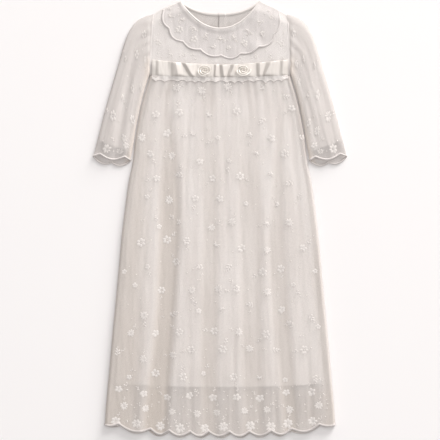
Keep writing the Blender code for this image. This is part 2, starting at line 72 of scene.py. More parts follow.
Side = namedtuple("Side", "below half")
SKIRT_SIDE = [
    Side(0.0, 112.5),
    Side(6.0, 113.6),
    Side(34.0, 122.0),
    Side(64.0, 129.0),
    Side(96.0, 134.5),
    Side(126.0, 138.4),
    Side(145.0, 141.2),
    Side(168.0, 146.2),
    Side(213.0, 152.4),
    Side(262.0, 158.2),
    Side(309.0, 162.4),
    Side(357.0, 166.8),
    Side(405.0, 171.6),
    Side(453.0, 175.9),
    Side(501.0, 180.2),
    Side(533.0, 183.0),
    Side(582.0, 186.0),
]

# The valleys between the skirt's broad panels, where the net lies folded in more layers and painted shade
# darkens it. left and right are their edges as shares of the skirt's half width, at four places from the
# waist seam to the hem. depth and soft, how gently the layers and the painted shade begin, are in mm, and
# layers is how much the net thickens there and how much painted shade it takes.
Valley = namedtuple("Valley", "left right depth layers soft")
VALLEY_PLACES = (39.0, 199.0, 375.0, 535.0)
VALLEYS = [
    Valley((-1.100, -1.100, -1.100, -1.100), (-0.880, -0.780, -0.740, -0.720), 1.2, 0.55, 16.0),
    Valley((-0.752, -0.645, -0.610, -0.660), (-0.640, -0.430, -0.430, -0.462), 4.2, 0.72, 7.0),
    Valley((-0.250, -0.190, -0.180, -0.160), (-0.080, -0.032, -0.028, -0.026), 2.2, 0.40, 6.0),
    Valley((0.280, 0.200, 0.190, 0.200), (0.440, 0.430, 0.385, 0.367), 2.4, 0.30, 6.0),
    Valley((0.740, 0.540, 0.500, 0.540), (0.820, 0.665, 0.650, 0.665), 2.6, 0.42, 6.0),
    Valley((0.960, 0.930, 0.900, 0.920), (1.100, 1.100, 1.100, 1.100), 0.8, 0.30, 6.0),
]
VALLEY_SIDE = 7.5 * MM
# Small creases in the panels: where each starts and ends down the skirt, and its depth, in mm
Tuck = namedtuple("Tuck", "top foot start end depth half_width")
TUCKS = [
    Tuck(-0.74, -0.76, 0.15, 0.62, 0.6, 7.0),
    Tuck(-0.40, -0.36, 0.05, 0.45, 0.8, 7.0),
    Tuck(-0.30, -0.24, 0.62, 1.05, 0.7, 8.0),
    Tuck(0.02, 0.09, 0.10, 0.52, 0.6, 8.0),
    Tuck(0.14, 0.10, 0.66, 1.05, 0.8, 7.0),
    Tuck(0.50, 0.49, 0.35, 1.05, 0.7, 7.0),
    Tuck(0.88, 0.80, 0.05, 0.50, 0.7, 8.0),
    Tuck(0.80, 0.79, 0.72, 1.05, 0.7, 7.0),
]
PANEL_RISE = 5.4 * MM
PANEL_RISE_SEAM = 1.8 * MM
GATHERS = 16
Gather = namedtuple("Gather", "u half height reach drift")
GATHER_SPREAD = 0.95

NECK_HALF = 62.4 * MM
NECK_TIP_Y = 350.0 * MM
FRONT_NECK_DROP = 42.4 * MM
FRONT_NECK_POWER = 2.1
BACK_NECK_DROP = 18.4 * MM
BACK_NECK_POWER = 2.5
NECK_SHARE = 0.62
SHOULDER_X = 107.0 * MM
SHOULDER_Y = 329.0 * MM
SHOULDER_BOW = 2.5 * MM
SHOULDER_Z = 3.4 * MM
UNDERARM_X = 112.8 * MM
UNDERARM_Y = 232.0 * MM
RISE_REACH = 18.0 * MM
YOKE_FRONT_Z = 6.2 * MM
YOKE_BACK_Z = 1.8 * MM
PLACKET_UNDER_X = 6.0 * MM
PLACKET_OVER_X = -2.4 * MM
PLACKET_SLOPE = 6.0 * MM
PLACKET_STEP = 0.8 * MM

COLLAR_LOBES = 8
COLLAR_LOBE_DEPTH = 5.0 * MM
Edge = namedtuple("Edge", "along x y")
COLLAR_EDGE = [
    Edge(-1.00, -95.0, 334.5),
    Edge(-0.86, -92.0, 316.0),
    Edge(-0.72, -84.0, 300.0),
    Edge(-0.58, -72.0, 287.0),
    Edge(-0.44, -56.0, 277.5),
    Edge(-0.30, -40.0, 270.0),
    Edge(-0.15, -20.0, 262.5),
    Edge(0.00, 2.0, 257.5),
    Edge(0.15, 22.0, 257.5),
    Edge(0.30, 41.0, 263.0),
    Edge(0.44, 58.0, 270.0),
    Edge(0.58, 75.0, 277.0),
    Edge(0.72, 89.0, 290.0),
    Edge(0.86, 96.0, 309.0),
    Edge(1.00, 98.0, 333.0),
]
COLLAR_BACK_EDGE = [
    Edge(0.00, 1.2, 296.0),
    Edge(0.25, 26.0, 297.0),
    Edge(0.50, 51.0, 302.0),
    Edge(0.75, 76.0, 313.0),
    Edge(1.00, 95.0, 334.5),
]

RIBBON_HALF = 109.0 * MM
RIBBON_WIDTH = 25.0 * MM
RIBBON_DRAWN = 4.5 * MM
# The creases of the ruched ribbon: where each crosses the ribbon's upper and lower edges, and its height
Crease = namedtuple("Crease", "upper lower height")
CREASES = [
    Crease(-109.0, -109.0, 0.8),
    Crease(-103.0, -103.5, 0.3),
    Crease(-98.0, -98.5, 3.0),
    Crease(-83.0, -81.0, 0.2),
    Crease(-70.5, -66.5, 7.2),
    Crease(-62.5, -48.5, 0.8),
    Crease(-55.0, -42.5, 6.6),
    Crease(-37.0, -36.0, 0.6),
    Crease(-12.5, -12.0, 1.6),
    Crease(-9.5, -11.0, 0.6),
    Crease(-6.0, -7.0, 4.2),
    Crease(-1.0, 0.0, 0.5),
    Crease(4.0, 7.0, 6.4),
    Crease(17.0, 9.5, 0.6),
    Crease(23.5, 15.5, 6.6),
    Crease(28.5, 25.0, 1.0),
    Crease(46.0, 48.0, 3.2),
    Crease(57.0, 57.5, 0.3),
    Crease(64.5, 64.0, 5.4),
    Crease(73.5, 67.0, 1.2),
    Crease(83.0, 71.0, 7.4),
    Crease(95.5, 94.5, 0.5),
    Crease(101.5, 100.5, 4.4),
    Crease(109.0, 109.0, 0.4),
]
RUCHE_SHARE = 0.5
ROSE_RISE = 11.2 * MM
ROSE_X = {"rose_right": -24.5 * MM, "rose_left": 37.0 * MM}
ROSE_TURNS = 2.7

Section = namedtuple("Section", "index outer_x outer_y inner_x inner_y base height")
SLEEVE = [
    Section(0, 107.2, 329.0, 113.0, 232.0, 1.3, 6.4),
    Section(1, 121.0, 325.3, 115.4, 226.0, 1.0, 7.0),
    Section(2, 134.0, 317.5, 118.4, 217.0, 0.5, 7.8),
    Section(3, 145.0, 303.0, 121.6, 206.0, 0.1, 8.4),
    Section(4, 153.2, 283.0, 124.8, 194.0, 0.0, 8.6),
    Section(5, 159.8, 260.0, 128.0, 180.0, 0.0, 8.6),
    Section(6, 167.0, 235.0, 131.2, 165.0, 0.0, 8.6),
    Section(7, 175.0, 208.0, 134.4, 149.0, 0.0, 8.6),
    Section(8, 182.8, 181.0, 137.0, 133.0, 0.0, 8.5),
    Section(9, 190.0, 153.0, 139.2, 119.0, 0.0, 8.4),
    Section(10, 196.5, 127.0, 141.4, 108.0, 0.0, 8.0),
    Section(11, 202.5, 104.0, 143.2, 97.0, 0.0, 6.0),
]
LAST_SECTION = 11
SLEEVE_EDGE_RADIUS = 3.0 * MM
CUFF_SCALLOPS = 3
CUFF_SCALLOP_DEPTH = 7.0 * MM
CUFF_UNDER_DROP = 12.0 * MM
# The soft troughs along each sleeve: across is -1 at its outer edge and 1 at its inner one, and the side
# is 1 for the wearer's left
Furrow = namedtuple("Furrow", "side across_top across_foot half_width top foot")
FURROWS = [
    Furrow(-1, -0.40, 0.24, 0.40, 1.3, 2.4),
    Furrow(-1, 0.50, 0.80, 0.24, 0.5, 1.0),
    Furrow(-1, -0.86, -0.74, 0.22, 0.5, 0.9),
    Furrow(1, 0.14, -0.02, 0.26, 0.7, 0.3),
    Furrow(1, -0.34, -0.60, 0.44, 0.5, 1.2),
    Furrow(1, 0.56, 0.40, 0.30, 0.3, 0.7),
]
SLEEVE_HEAD_GATHERS = 6
SLEEVE_HEAD_DIP = 1.5 * MM
SLEEVE_UNDER_Z = 0.6 * MM
CUFF_Y = 90.0 * MM
CUFF_INNER_X = 144.0 * MM


# Curves and tables

def ease(share):
    """From 0 to 1, level at both ends."""
    share = min(max(share, 0.0), 1.0)
    return share * share * (3 - 2 * share)


def mix(first, second, share):
    return first + (second - first) * share


def bump(offset):
    return math.cos(math.pi * offset / 2) ** 2 if abs(offset) < 1 else 0.0


def wave(turns):
    return 0.5 - 0.5 * math.cos(2 * math.pi * turns)


def scallop(share, lobes):
    return abs(math.sin(math.pi * lobes * share))


def read(table, key, column, at):
    """A column of a table at a place between its rows, on a smooth curve."""
    keys = [getattr(row, key) for row in table]
    at = min(max(at, keys[0]), keys[-1])
    row = max(i for i in range(len(keys) - 1) if keys[i] <= at)
    before, after = max(row - 1, 0), min(row + 2, len(keys) - 1)
    low, high = getattr(table[row], column), getattr(table[row + 1], column)
    span = keys[row + 1] - keys[row]
    share = (at - keys[row]) / span
    slope_in = (high - getattr(table[before], column)) / (keys[row + 1] - keys[before]) * span
    slope_out = (getattr(table[after], column) - low) / (keys[after] - keys[row]) * span
    square, cube = share * share, share ** 3
    return (
        low * (2 * cube - 3 * square + 1)
        + slope_in * (cube - 2 * square + share)
        + high * (3 * square - 2 * cube)
        + slope_out * (cube - square)
    )


# The cloth's unevenness: how fast it changes across and down the dress, and which part of the noise it is
WIDE_RUMPLES = (80, 14, 2.0)
FINE_RUMPLES = (210, 40, 9.0)
FINE_RUMPLE_SHARE = 0.45


def noise_at(x, y, pattern):
    across, down, part = pattern
    return noise.noise(Vector((x * across, y * down, part)))


def rumple(x, y, height):
    """The slight unevenness of soft cloth, longer down the dress than across it."""
    return height * (noise_at(x, y, WIDE_RUMPLES) + FINE_RUMPLE_SHARE * noise_at(x, y, FINE_RUMPLES))


# Making pieces

def stored(shape, name):
    """Keeps the shape as a mesh and frees it."""
    mesh = bpy.data.meshes.new(name)
    shape.to_mesh(mesh)
    shape.free()
    return mesh


def finish_piece(shape, name, material):
    mesh = stored(shape, name)
    mesh.shade_smooth()
    mesh.materials.append(material)
    piece = bpy.data.objects.new(name, mesh)
    bpy.context.scene.collection.objects.link(piece)
    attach(piece, BODY)
    return piece


def lay_uv(shape, across, along):
    """Maps a square grid as cloth. The two functions give the metres on it for the grid's x and y."""
    uv = shape.loops.layers.uv.new("cloth")
    for face in shape.faces:
        for loop in face.loops:
            loop[uv].uv = (across(loop.vert.co.x), along(loop.vert.co.y))


def cloth(name, material, slot, columns, rows, place, cut, closed=False, flip=False, wall=0.0, shade=None):
    """A piece of cloth. place(across, along) gives its face for shares from 0 to 1, cut is the width and
    length of the flat cloth, which its UV map holds in metres, and shade(x, y) is kept as its
    fold_and_painted_light attribute, which sets the painted light and shade in its colour."""
    shape = bmesh.new()
    bmesh.ops.create_grid(shape, x_segments=columns, y_segments=rows, size=0.5)
    lay_uv(shape, lambda x: (x + 0.5) * cut[0], lambda y: (0.5 - y) * cut[1])
    fold_and_painted_light = shape.verts.layers.float.new("fold_and_painted_light")
    for vert in shape.verts:
        vert.co = place(round((vert.co.x + 0.5) * columns) / columns, round((vert.co.y + 0.5) * rows) / rows)
        if shade:
            vert[fold_and_painted_light] = shade(vert.co.x, vert.co.y)
    if closed:
        bmesh.ops.remove_doubles(shape, verts=shape.verts[:], dist=MERGE)
    if flip:
        bmesh.ops.reverse_faces(shape, faces=shape.faces[:])
    piece = finish_piece(shape, name, material)
    if wall:
        thick = piece.modifiers.new("Wall", "SOLIDIFY")
        thick.thickness = wall
        thick.offset = -1.0
    return piece


def cord(name, material, path, radius, count, sides=6, flat=1.0):
    """A corded edge that follows path(share), its height so many times its width."""
    shape = bmesh.new()
    bmesh.ops.create_grid(shape, x_segments=count, y_segments=sides, size=0.5)
    length = sum((path(i / count) - path((i - 1) / count)).length for i in range(1, count + 1))
    lay_uv(shape, lambda x: (x + 0.5) * length, lambda y: (y + 0.5) * radius * 6)
    step = 0.5 / count
    for vert in shape.verts:
        share, turn = vert.co.x + 0.5, 2 * math.pi * round((vert.co.y + 0.5) * sides) / sides
        along = (path(min(share + step, 1.0)) - path(max(share - step, 0.0))).normalized()
        out = along.cross(UP).normalized()
        top = out.cross(along)
        vert.co = path(share) + radius * (math.cos(turn) * out + flat * math.sin(turn) * top)
    bmesh.ops.remove_doubles(shape, verts=shape.verts[:], dist=MERGE)
    bmesh.ops.holes_fill(shape, edges=shape.edges[:], sides=sides)
    bmesh.ops.recalc_face_normals(shape, faces=shape.faces[:])
    return finish_piece(shape, name, material)


# Materials

def shader_of(material):
    return material.node_tree.nodes["Principled BSDF"]


def finish(name, colour, roughness, sheen=0.0):
    material = bpy.data.materials.new(name)
    material.use_nodes = True
    shader = shader_of(material)
    shader.inputs["Base Color"].default_value = (*colour, 1.0)
    shader.inputs["Roughness"].default_value = roughness
    shader.inputs["Sheen Weight"].default_value = sheen
    shader.inputs["Sheen Roughness"].default_value = 0.4
    return material


def add_node(material, kind, **values):
    node = material.node_tree.nodes.new(kind)
    for name, value in values.items():
        setattr(node, name, value)
    return node


def link(material, source, target):
    material.node_tree.links.new(source, target)


def scaled(material, scale, source="UV"):
    """Texture coordinates with so many repeats to the metre, by the cloth's own map or in space."""
    coordinates = add_node(material, "ShaderNodeTexCoord")
    mapping = add_node(material, "ShaderNodeMapping")
    mapping.inputs["Scale"].default_value = scale
    link(material, coordinates.outputs[source], mapping.inputs["Vector"])
    return mapping.outputs["Vector"]


def tone(material, vector, low, high):
    """Uneven colour between two tones."""
    clouds = add_node(material, "ShaderNodeTexNoise")
    clouds.inputs["Scale"].default_value = 1.0
    clouds.inputs["Detail"].default_value = 2.0
    link(material, vector, clouds.inputs["Vector"])
    ramp = add_node(material, "ShaderNodeValToRGB")
    ramp.color_ramp.elements[0].position = 0.35
    ramp.color_ramp.elements[1].position = 0.65
    ramp.color_ramp.elements[0].color = (*low, 1.0)
    ramp.color_ramp.elements[1].color = (*high, 1.0)
    link(material, clouds.outputs["Fac"], ramp.inputs["Fac"])
    link(material, ramp.outputs["Color"], shader_of(material).inputs["Base Color"])


def relief(material, height, distance, strength):
    """Raises the surface in light and shade by so much, where height is 1."""
    raised = add_node(material, "ShaderNodeBump")
    raised.inputs["Distance"].default_value = distance
    raised.inputs["Strength"].default_value = strength
    link(material, height, raised.inputs["Height"])
    link(material, raised.outputs["Normal"], shader_of(material).inputs["Normal"])


def threads(material, count, uneven):
    """A fine thread pattern, so many to the metre: 0 between the threads, 1 on them."""
    bands = {"wave_type": "BANDS", "bands_direction": "X", "wave_profile": "SIN"}
    lines = add_node(material, "ShaderNodeTexWave", **bands)
    lines.inputs["Scale"].default_value = 1.0
    lines.inputs["Distortion"].default_value = uneven
    lines.inputs["Detail"].default_value = 1.0
    link(material, scaled(material, (count, 0.0, 0.0)), lines.inputs["Vector"])
    return lines.outputs["Fac"]


NET_CELL = 1.35 * MM
NET_UNEVEN = 0.75


def net_mask(material, thin, thick):
    """1 on the threads of a fine net and 0 in its holes. thin and thick are shares of a cell."""
    per_metre = 1 / NET_CELL
    cells = add_node(material, "ShaderNodeTexVoronoi", feature="DISTANCE_TO_EDGE", voronoi_dimensions="2D")
    cells.inputs["Scale"].default_value = 1.0
    cells.inputs["Randomness"].default_value = NET_UNEVEN
    link(material, scaled(material, (per_metre, per_metre, 1.0)), cells.inputs["Vector"])
    edge = add_node(material, "ShaderNodeMapRange", interpolation_type="SMOOTHSTEP")
    edge.inputs["From Min"].default_value = thin
    edge.inputs["From Max"].default_value = thick
    edge.inputs["To Min"].default_value = 1.0
    edge.inputs["To Max"].default_value = 0.0
    link(material, cells.outputs["Distance"], edge.inputs["Value"])
    return edge.outputs["Result"]


def paint_light_by_fold(material, colour):
    """Paints the material's colour towards this one by the cloth's fold_and_painted_light attribute, as
    painted light and shade, and returns that attribute.
    """
    base = shader_of(material).inputs["Base Color"]
    fold_and_painted_light = add_node(material, "ShaderNodeAttribute", attribute_name="fold_and_painted_light")
    folded = add_node(material, "ShaderNodeMix", data_type="RGBA")
    folded.inputs["A"].default_value = base.default_value
    folded.inputs["B"].default_value = (*colour, 1.0)
    link(material, fold_and_painted_light.outputs["Fac"], folded.inputs["Factor"])
    if base.is_linked:
        link(material, base.links[0].from_socket, folded.inputs["A"])
    link(material, folded.outputs["Result"], base)
    return fold_and_painted_light


# The sheer nets: two tones, the colour painted on them where they are folded (painted shade on the skirt,
# a lighter painted tone on the sleeves), and how much of what is under them their holes and threads hide
# Painted shade: the darker, warmer colour painted on the skirt's net in its valleys and creases and beside
# the sleeves
TROUGH_PAINTED_SHADE = (0.65, 0.58, 0.525)
Net = namedtuple("Net", "key name low high trough holes threads")
NETS = [
    Net("skirt", "skirt net", (0.785, 0.73, 0.70), (0.845, 0.795, 0.77), TROUGH_PAINTED_SHADE, 0.44, 0.68),
    # The sleeve's painted tone is lighter: painted light where the sleeve meets the skirt
    Net("sleeve", "sleeve net", (0.71, 0.66, 0.635), (0.785, 0.735, 0.71), (0.90, 0.80, 0.72), 0.50, 0.72),
    Net("collar", "collar net", (0.725, 0.675, 0.655), (0.785, 0.735, 0.715), TROUGH_PAINTED_SHADE, 0.80, 0.95),
    Net("frill", "frill net", (0.83, 0.78, 0.75), (0.89, 0.84, 0.81), TROUGH_PAINTED_SHADE, 0.72, 0.92),
]
NET_CLOUDS = (26.0, 9.0, 1.0)
FOLDED_COVER = 0.32


def net_lace(net):
    """Sheer net: its threads hide what is under them more than its holes do. Where it is folded, its layers
    hide more of what is under them, and painted shade turns its colour darker and warmer (on the sleeves,
    painted light turns it lighter and warmer)."""
    material = finish(net.name, net.high, 0.85, sheen=0.15)
    tone(material, scaled(material, NET_CLOUDS), net.low, net.high)
    fold_and_painted_light = paint_light_by_fold(material, net.trough)
    mask = net_mask(material, 0.06, 0.26)
    cover = add_node(material, "ShaderNodeMapRange")
    cover.inputs["To Min"].default_value = net.holes
    cover.inputs["To Max"].default_value = net.threads
    link(material, mask, cover.inputs["Value"])
    layers = add_node(material, "ShaderNodeMath", operation="MULTIPLY_ADD", use_clamp=True)
    layers.inputs[1].default_value = FOLDED_COVER
    link(material, fold_and_painted_light.outputs["Fac"], layers.inputs[0])
    link(material, cover.outputs["Result"], layers.inputs[2])
    link(material, layers.outputs["Value"], shader_of(material).inputs["Alpha"])
    relief(material, mask, 0.12 * MM, 0.5)
    return material


Backed = namedtuple("Backed", "key name low high")
BACKED = [
    Backed("yoke", "yoke lace", (0.74, 0.69, 0.665), (0.795, 0.745, 0.72)),
    # The inside of the back yoke: a darker copy of the yoke lace, painted shade under the raised front neck
    Backed("inner", "yoke inside painted shade", (0.60, 0.555, 0.53), (0.66, 0.615, 0.59)),
]
BACKED_CLOUDS = (40.0, 40.0, 1.0)


def backed_lace(lace):
    """Net laid on a lining of its own, so nothing shows through."""
    material = finish(lace.name, lace.high, 0.8, sheen=0.2)
    tone(material, scaled(material, BACKED_CLOUDS), lace.low, lace.high)
    relief(material, net_mask(material, 0.05, 0.3), 0.2 * MM, 0.6)
    return material


# Trims and satins of one colour. count is their threads to the metre, uneven how these wander, height how
# far they stand up, in mm, and strength how sharply.
Trim = namedtuple("Trim", "key name colour roughness count uneven height strength")
TRIMS = [
    Trim("satin", "ribbon satin", (0.74, 0.685, 0.64), 0.32, 700.0, 0.6, 0.03, 0.2),
    # The roses' satin: lighter than the ribbon's, as painted light against the shade between its petals
    Trim("rose", "rose satin", (0.97, 0.925, 0.875), 0.42, 700.0, 0.6, 0.03, 0.2),
    Trim("stitch", "embroidery thread", (0.765, 0.715, 0.685), 0.80, 420.0, 0.3, 0.15, 0.5),
    Trim("edging", "corded edge", (0.74, 0.69, 0.665), 0.70, 330.0, 0.3, 0.30, 0.7),
    # The front hem's cord: a darker copy of the corded edge, painted shade against the light on its top
    Trim("hem edge painted shade", "hem corded edge painted shade", (0.60, 0.555, 0.535), 0.85, 330.0, 0.3, 0.30, 0.6),
    # A little darker than the corded edge: painted shade against the light on its top
    Trim("collar edge", "collar edge", (0.705, 0.655, 0.635), 0.85, 330.0, 0.3, 0.30, 0.5),
    Trim("binding", "neck binding", (0.74, 0.69, 0.66), 0.60, 500.0, 0.2, 0.06, 0.3),
]
# Painted shade on the ribbon's facets that face away from the key light
SATIN_PAINTED_SHADE = (0.60, 0.55, 0.51)


def threaded(trim):
    """One colour, with the threads raised a little."""
    material = finish(trim.name, trim.colour, trim.roughness)
    relief(material, threads(material, trim.count, trim.uneven), trim.height * MM, trim.strength)
    return material


def shine_and_paint_facet_shade(satin):
    """The ribbon's satin shines, and painted shade darkens its facets that face away from the key light."""
    paint_light_by_fold(satin, SATIN_PAINTED_SHADE)
    shader_of(satin).inputs["Specular IOR Level"].default_value = 1.0


def plain_lining():
    material = finish("plain lining", (0.90, 0.85, 0.80), 0.6, sheen=0.1)
    tone(material, scaled(material, (14.0, 5.0, 1.0)), (0.90, 0.855, 0.825), (0.95, 0.915, 0.89))
    relief(material, threads(material, 900.0, 0.6), 0.05 * MM, 0.2)
    return material


def pearl():
    material = finish("pearl button", (0.85, 0.82, 0.78), 0.22)
    shader_of(material).inputs["Coat Weight"].default_value = 0.5
    clouds = scaled(material, (260.0, 260.0, 260.0), source="Object")
    tone(material, clouds, (0.80, 0.76, 0.72), (0.90, 0.88, 0.86))
    return material


def make_materials():
    looks = {net.key: net_lace(net) for net in NETS}
    looks.update({lace.key: backed_lace(lace) for lace in BACKED})
    looks.update({trim.key: threaded(trim) for trim in TRIMS})
    shine_and_paint_facet_shade(looks["satin"])
    looks["lining"] = plain_lining()
    looks["pearl"] = pearl()
    return looks


# The lay of the skirt

def seam_y(u):
    return SEAM_Y - SEAM_SAG * (1 - u * u)


def skirt_half(y):
    """Half the skirt's width at a height on the dress."""
    return read(SKIRT_SIDE, "below", "half", (SEAM_Y - y) / MM) * MM


def down_skirt(y):
    """0 at the waist seam and 1 at the hem."""
    return (SEAM_Y - y) / (SEAM_Y - HEM_Y)


def lift(y):
    """The skirt lies higher over the thick waist seam."""
    return LIFT * (1 - ease((SEAM_Y - y) / LIFT_REACH))


# Every so many mm down the skirt, to past its hem
VALLEY_STEP = 4.0
VALLEY_ROWS = 151


def make_valley_lines():
    """Each valley's edges at every step down the skirt, worked out once."""
    lines = []
    for valley in VALLEYS:
        sides = []
        for edge in (valley.left, valley.right):
            stops = [Side(at, share) for at, share in zip(VALLEY_PLACES, edge)]
            sides.append([read(stops, "below", "half", VALLEY_STEP * row) for row in range(VALLEY_ROWS)])
        lines.append(sides)
    return lines


VALLEY_LINES = make_valley_lines()
VALLEY_SIDES = [VALLEY_SIDE] * len(VALLEYS)
NET_SIDES = [valley.soft * MM for valley in VALLEYS]


def in_valleys(x, y, softness):
    """How far a point is inside each valley, from 0 to 1, with sides so soft, one for each."""
    below = max((SEAM_Y - y) / MM, 0.0)
    half = skirt_half(y)
    step = min(below / VALLEY_STEP, VALLEY_ROWS - 1.01)
    row, share = int(step), step - int(step)
    shares = []
    for (left, right), soft in zip(VALLEY_LINES, softness):
        from_left = x - mix(left[row], left[row + 1], share) * half
        from_right = mix(right[row], right[row + 1], share) * half - x
        shares.append(ease(0.5 + from_left / (2 * soft)) * ease(0.5 + from_right / (2 * soft)))
    return shares


TUCK_FADE = 0.1


def tucked(x, y):
    """How far the small creases lower the cloth over a point."""
    down = down_skirt(y)
    half = skirt_half(y)
    sunk = 0.0
    for tuck in TUCKS:
        if tuck.start < down < tuck.end:
            middle = mix(tuck.top, tuck.foot, (down - tuck.start) / (tuck.end - tuck.start)) * half
            fade = ease((down - tuck.start) / TUCK_FADE) * ease((tuck.end - down) / TUCK_FADE)
            sunk += tuck.depth * MM * fade * bump((x - middle) / (tuck.half_width * MM))
    return sunk


def make_gathers():
    """The small gathers under the waist seam: uneven in place, height and length."""
    chance = random.Random(11)
    made = []
    for index in range(GATHERS):
        u = -GATHER_SPREAD + 2 * GATHER_SPREAD * (index + 0.5) / GATHERS + chance.uniform(-0.02, 0.02)
        half, height = chance.uniform(0.04, 0.07), chance.uniform(0.5, 1.25) * MM
        made.append(Gather(u, half, height, chance.uniform(30.0, 120.0) * MM, chance.uniform(-0.03, 0.03)))
    return made


GATHER_LIST = make_gathers()


def gathers(u, y):
    """The height of the small gathers: each widens and dies away down the skirt."""
    below = SEAM_Y - y
    height = 0.0
    for gather in GATHER_LIST:
        spread = min(below / gather.reach, 2.0)
        away = (u - gather.u - gather.drift * spread) / (gather.half * (1 + 0.7 * spread))
        if abs(away) < 1:
            height += gather.height * bump(away) * math.exp(-below / gather.reach)
    return height


SIDE_SEAM_REACH = 40.0 * MM


def side_seam_rise(y):
    """The side seams ride higher where the sleeves lie against them."""
    return SIDE_SEAM_RISE * ease((y - CUFF_Y) / SIDE_SEAM_REACH)


def panel_rise(down):
    """How far the broad panels stand up, more down the skirt than at the waist seam."""
    return mix(PANEL_RISE_SEAM, PANEL_RISE, ease(down * 1.15) ** 0.8)


SWELL = 1.0 * MM
SWELLS = (16, 3.2, 31.0)


def panel_z(x, y):
    """The level of the broad panels between the valleys."""
    down = min(max(down_skirt(y), 0.0), 1.0)
    swell = SWELL * noise_at(x, y, SWELLS) * mix(0.4, 1.0, down)
    return lift(y) + FRONT_Z + panel_rise(down) + swell


FRONT_RUMPLE = 0.5 * MM
TROUGH_BELOW_FRONT = 0.6 * MM
VALLEY_AT_SEAM = 0.25


def front_z(x, y):
    """The height of the front lace over a point of the surface that the dress lies on."""
    half = skirt_half(y)
    u = min(max(x / half, -1.0), 1.0)
    shares = in_valleys(x, y, VALLEY_SIDES)
    sunk = sum(share * valley.depth for share, valley in zip(shares, VALLEYS)) * MM
    sunk *= mix(VALLEY_AT_SEAM, 1.0, ease(down_skirt(y) * 1.6))
    level = panel_z(x, y) - sunk - tucked(x, y) + gathers(u, y) + rumple(x, y, FRONT_RUMPLE)
    level = max(level, lift(y) + FRONT_Z - TROUGH_BELOW_FRONT)
    inside = min((1 - abs(u)) * half / FRONT_EDGE_REACH, 1.0)
    return mix(FRONT_EDGE_Z + side_seam_rise(y), level, math.sqrt(1 - (1 - inside) ** 2))


# What is added to the net's painted shade beside the sleeves, darker down the skirt, past the lining's hem
# and per metre of the small creases' depth; it thickens the net there too
SHADE_BY_SLEEVE = 0.35
SHADE_BY_SLEEVE_REACH = 10.0 * MM
SHADE_LOW = 0.12
SHADE_PAST_LINING = 0.12
SHADE_PER_METRE_TUCKED = 90


def fold_shade(x, y):
    """0 on the broad panels and up to 1 in a valley, where the net lies in more layers and takes painted
    shade.
    """
    down = down_skirt(y)
    shares = in_valleys(x, y, NET_SIDES)
    folded = sum(share * valley.layers for share, valley in zip(shares, VALLEYS))
    folded *= mix(0.35, 1.0, ease(down * 2.2))
    # Painted shade in the gap beside the sleeves
    by_sleeve = SHADE_BY_SLEEVE * bump((skirt_half(y) - abs(x)) / SHADE_BY_SLEEVE_REACH)
    by_sleeve *= ease((y - CUFF_Y) / (30 * MM))
    # Darker towards the hem and past the lining's hem
    low = SHADE_LOW * ease((down - 0.45) / 0.4)
    low += SHADE_PAST_LINING * ease((LINING_HEM_Y - y) / (8 * MM))
    # Painted shade also lies in the small creases
    return min(folded + SHADE_PER_METRE_TUCKED * tucked(x, y) + by_sleeve + low, 1.0)


LINING_BELOW_LACE = 0.9 * MM


def lining_front_z(x, y):
    """The lining rises under the panels, and never through the lace."""
    level = lift(y) + LINING_FRONT_Z + LINING_RISE_SHARE * panel_rise(down_skirt(y))
    return max(min(level, front_z(x, y) - LINING_BELOW_LACE), LINING_FRONT_Z - 1.0 * MM)


BACK_EDGE_Z = 1.0 * MM
BACK_EDGE_REACH = 4.0 * MM
BACK_CREASE = 0.9 * MM
BACK_CREASES = (45, 4, 21.0)


def back_z(x, y):
    half = skirt_half(y)
    inside = min((1 - min(abs(x) / half, 1.0)) * half / BACK_EDGE_REACH, 1.0)
    creases = BACK_CREASE * max(noise_at(x, y, BACK_CREASES), 0.0)
    return mix(BACK_EDGE_Z + side_seam_rise(y), BACK_Z + lift(y) + creases, inside)


def hem_scallop(u):
    """0 at the notches between the hem's scallops and 1 at their middles."""
    for start, end in zip(HEM_POINTS, HEM_POINTS[1:]):
        if start <= u <= end:
            return math.sin(math.pi * (u - start) / (end - start))
    return 0.0


def hem_line_y(u, back=False):
    """The hem without its scallops. The back's shows a little past the front's."""
    drop = BACK_HEM_DROP * (1 - u ** 8) if back else 0.0
    return HEM_Y - drop + HEM_RISE * abs(u) ** 3


def hem_y(u, back=False):
    return hem_line_y(u, back) + HEM_SCALLOP_DEPTH * (1 - hem_scallop(-u if back else u))


def lace_row_y(u, down, back=False):
    """Rows run level at the waist seam and follow the scallops at the hem."""
    smooth_hem = hem_line_y(u)
    weight = ease((down - 0.93) / 0.07)
    return mix(seam_y(u) - SEAM_GAP, smooth_hem, down) + (hem_y(u, back) - smooth_hem) * weight


def crowd(along, amount):
    """Brings rows closer to both ends."""
    return along - amount * math.sin(2 * math.pi * along) / (2 * math.pi)


SKIRT_CUT = (0.42, 0.585)
HEM_CORD = 1.9 * MM
BACK_HEM_CORD = 0.9 * MM
HEM_CORD_INSET = 1.3 * MM


def skirt_place(across, along, height, back=False):
    u = 2 * across - 1
    y = lace_row_y(u, crowd(along, 0.5), back)
    x = u * skirt_half(y)
    return Vector((x, y, height(x, y)))


def front_hem(share):
    u = 2 * share - 1
    y = hem_y(u)
    x = u * skirt_half(y)
    return Vector((x, y + HEM_CORD_INSET, front_z(x, y + HEM_CORD_INSET) + 0.3 * MM))


def back_hem(share):
    u = 2 * share - 1
    y = hem_y(u, back=True)
    return Vector((u * skirt_half(y), y, BACK_EDGE_Z))


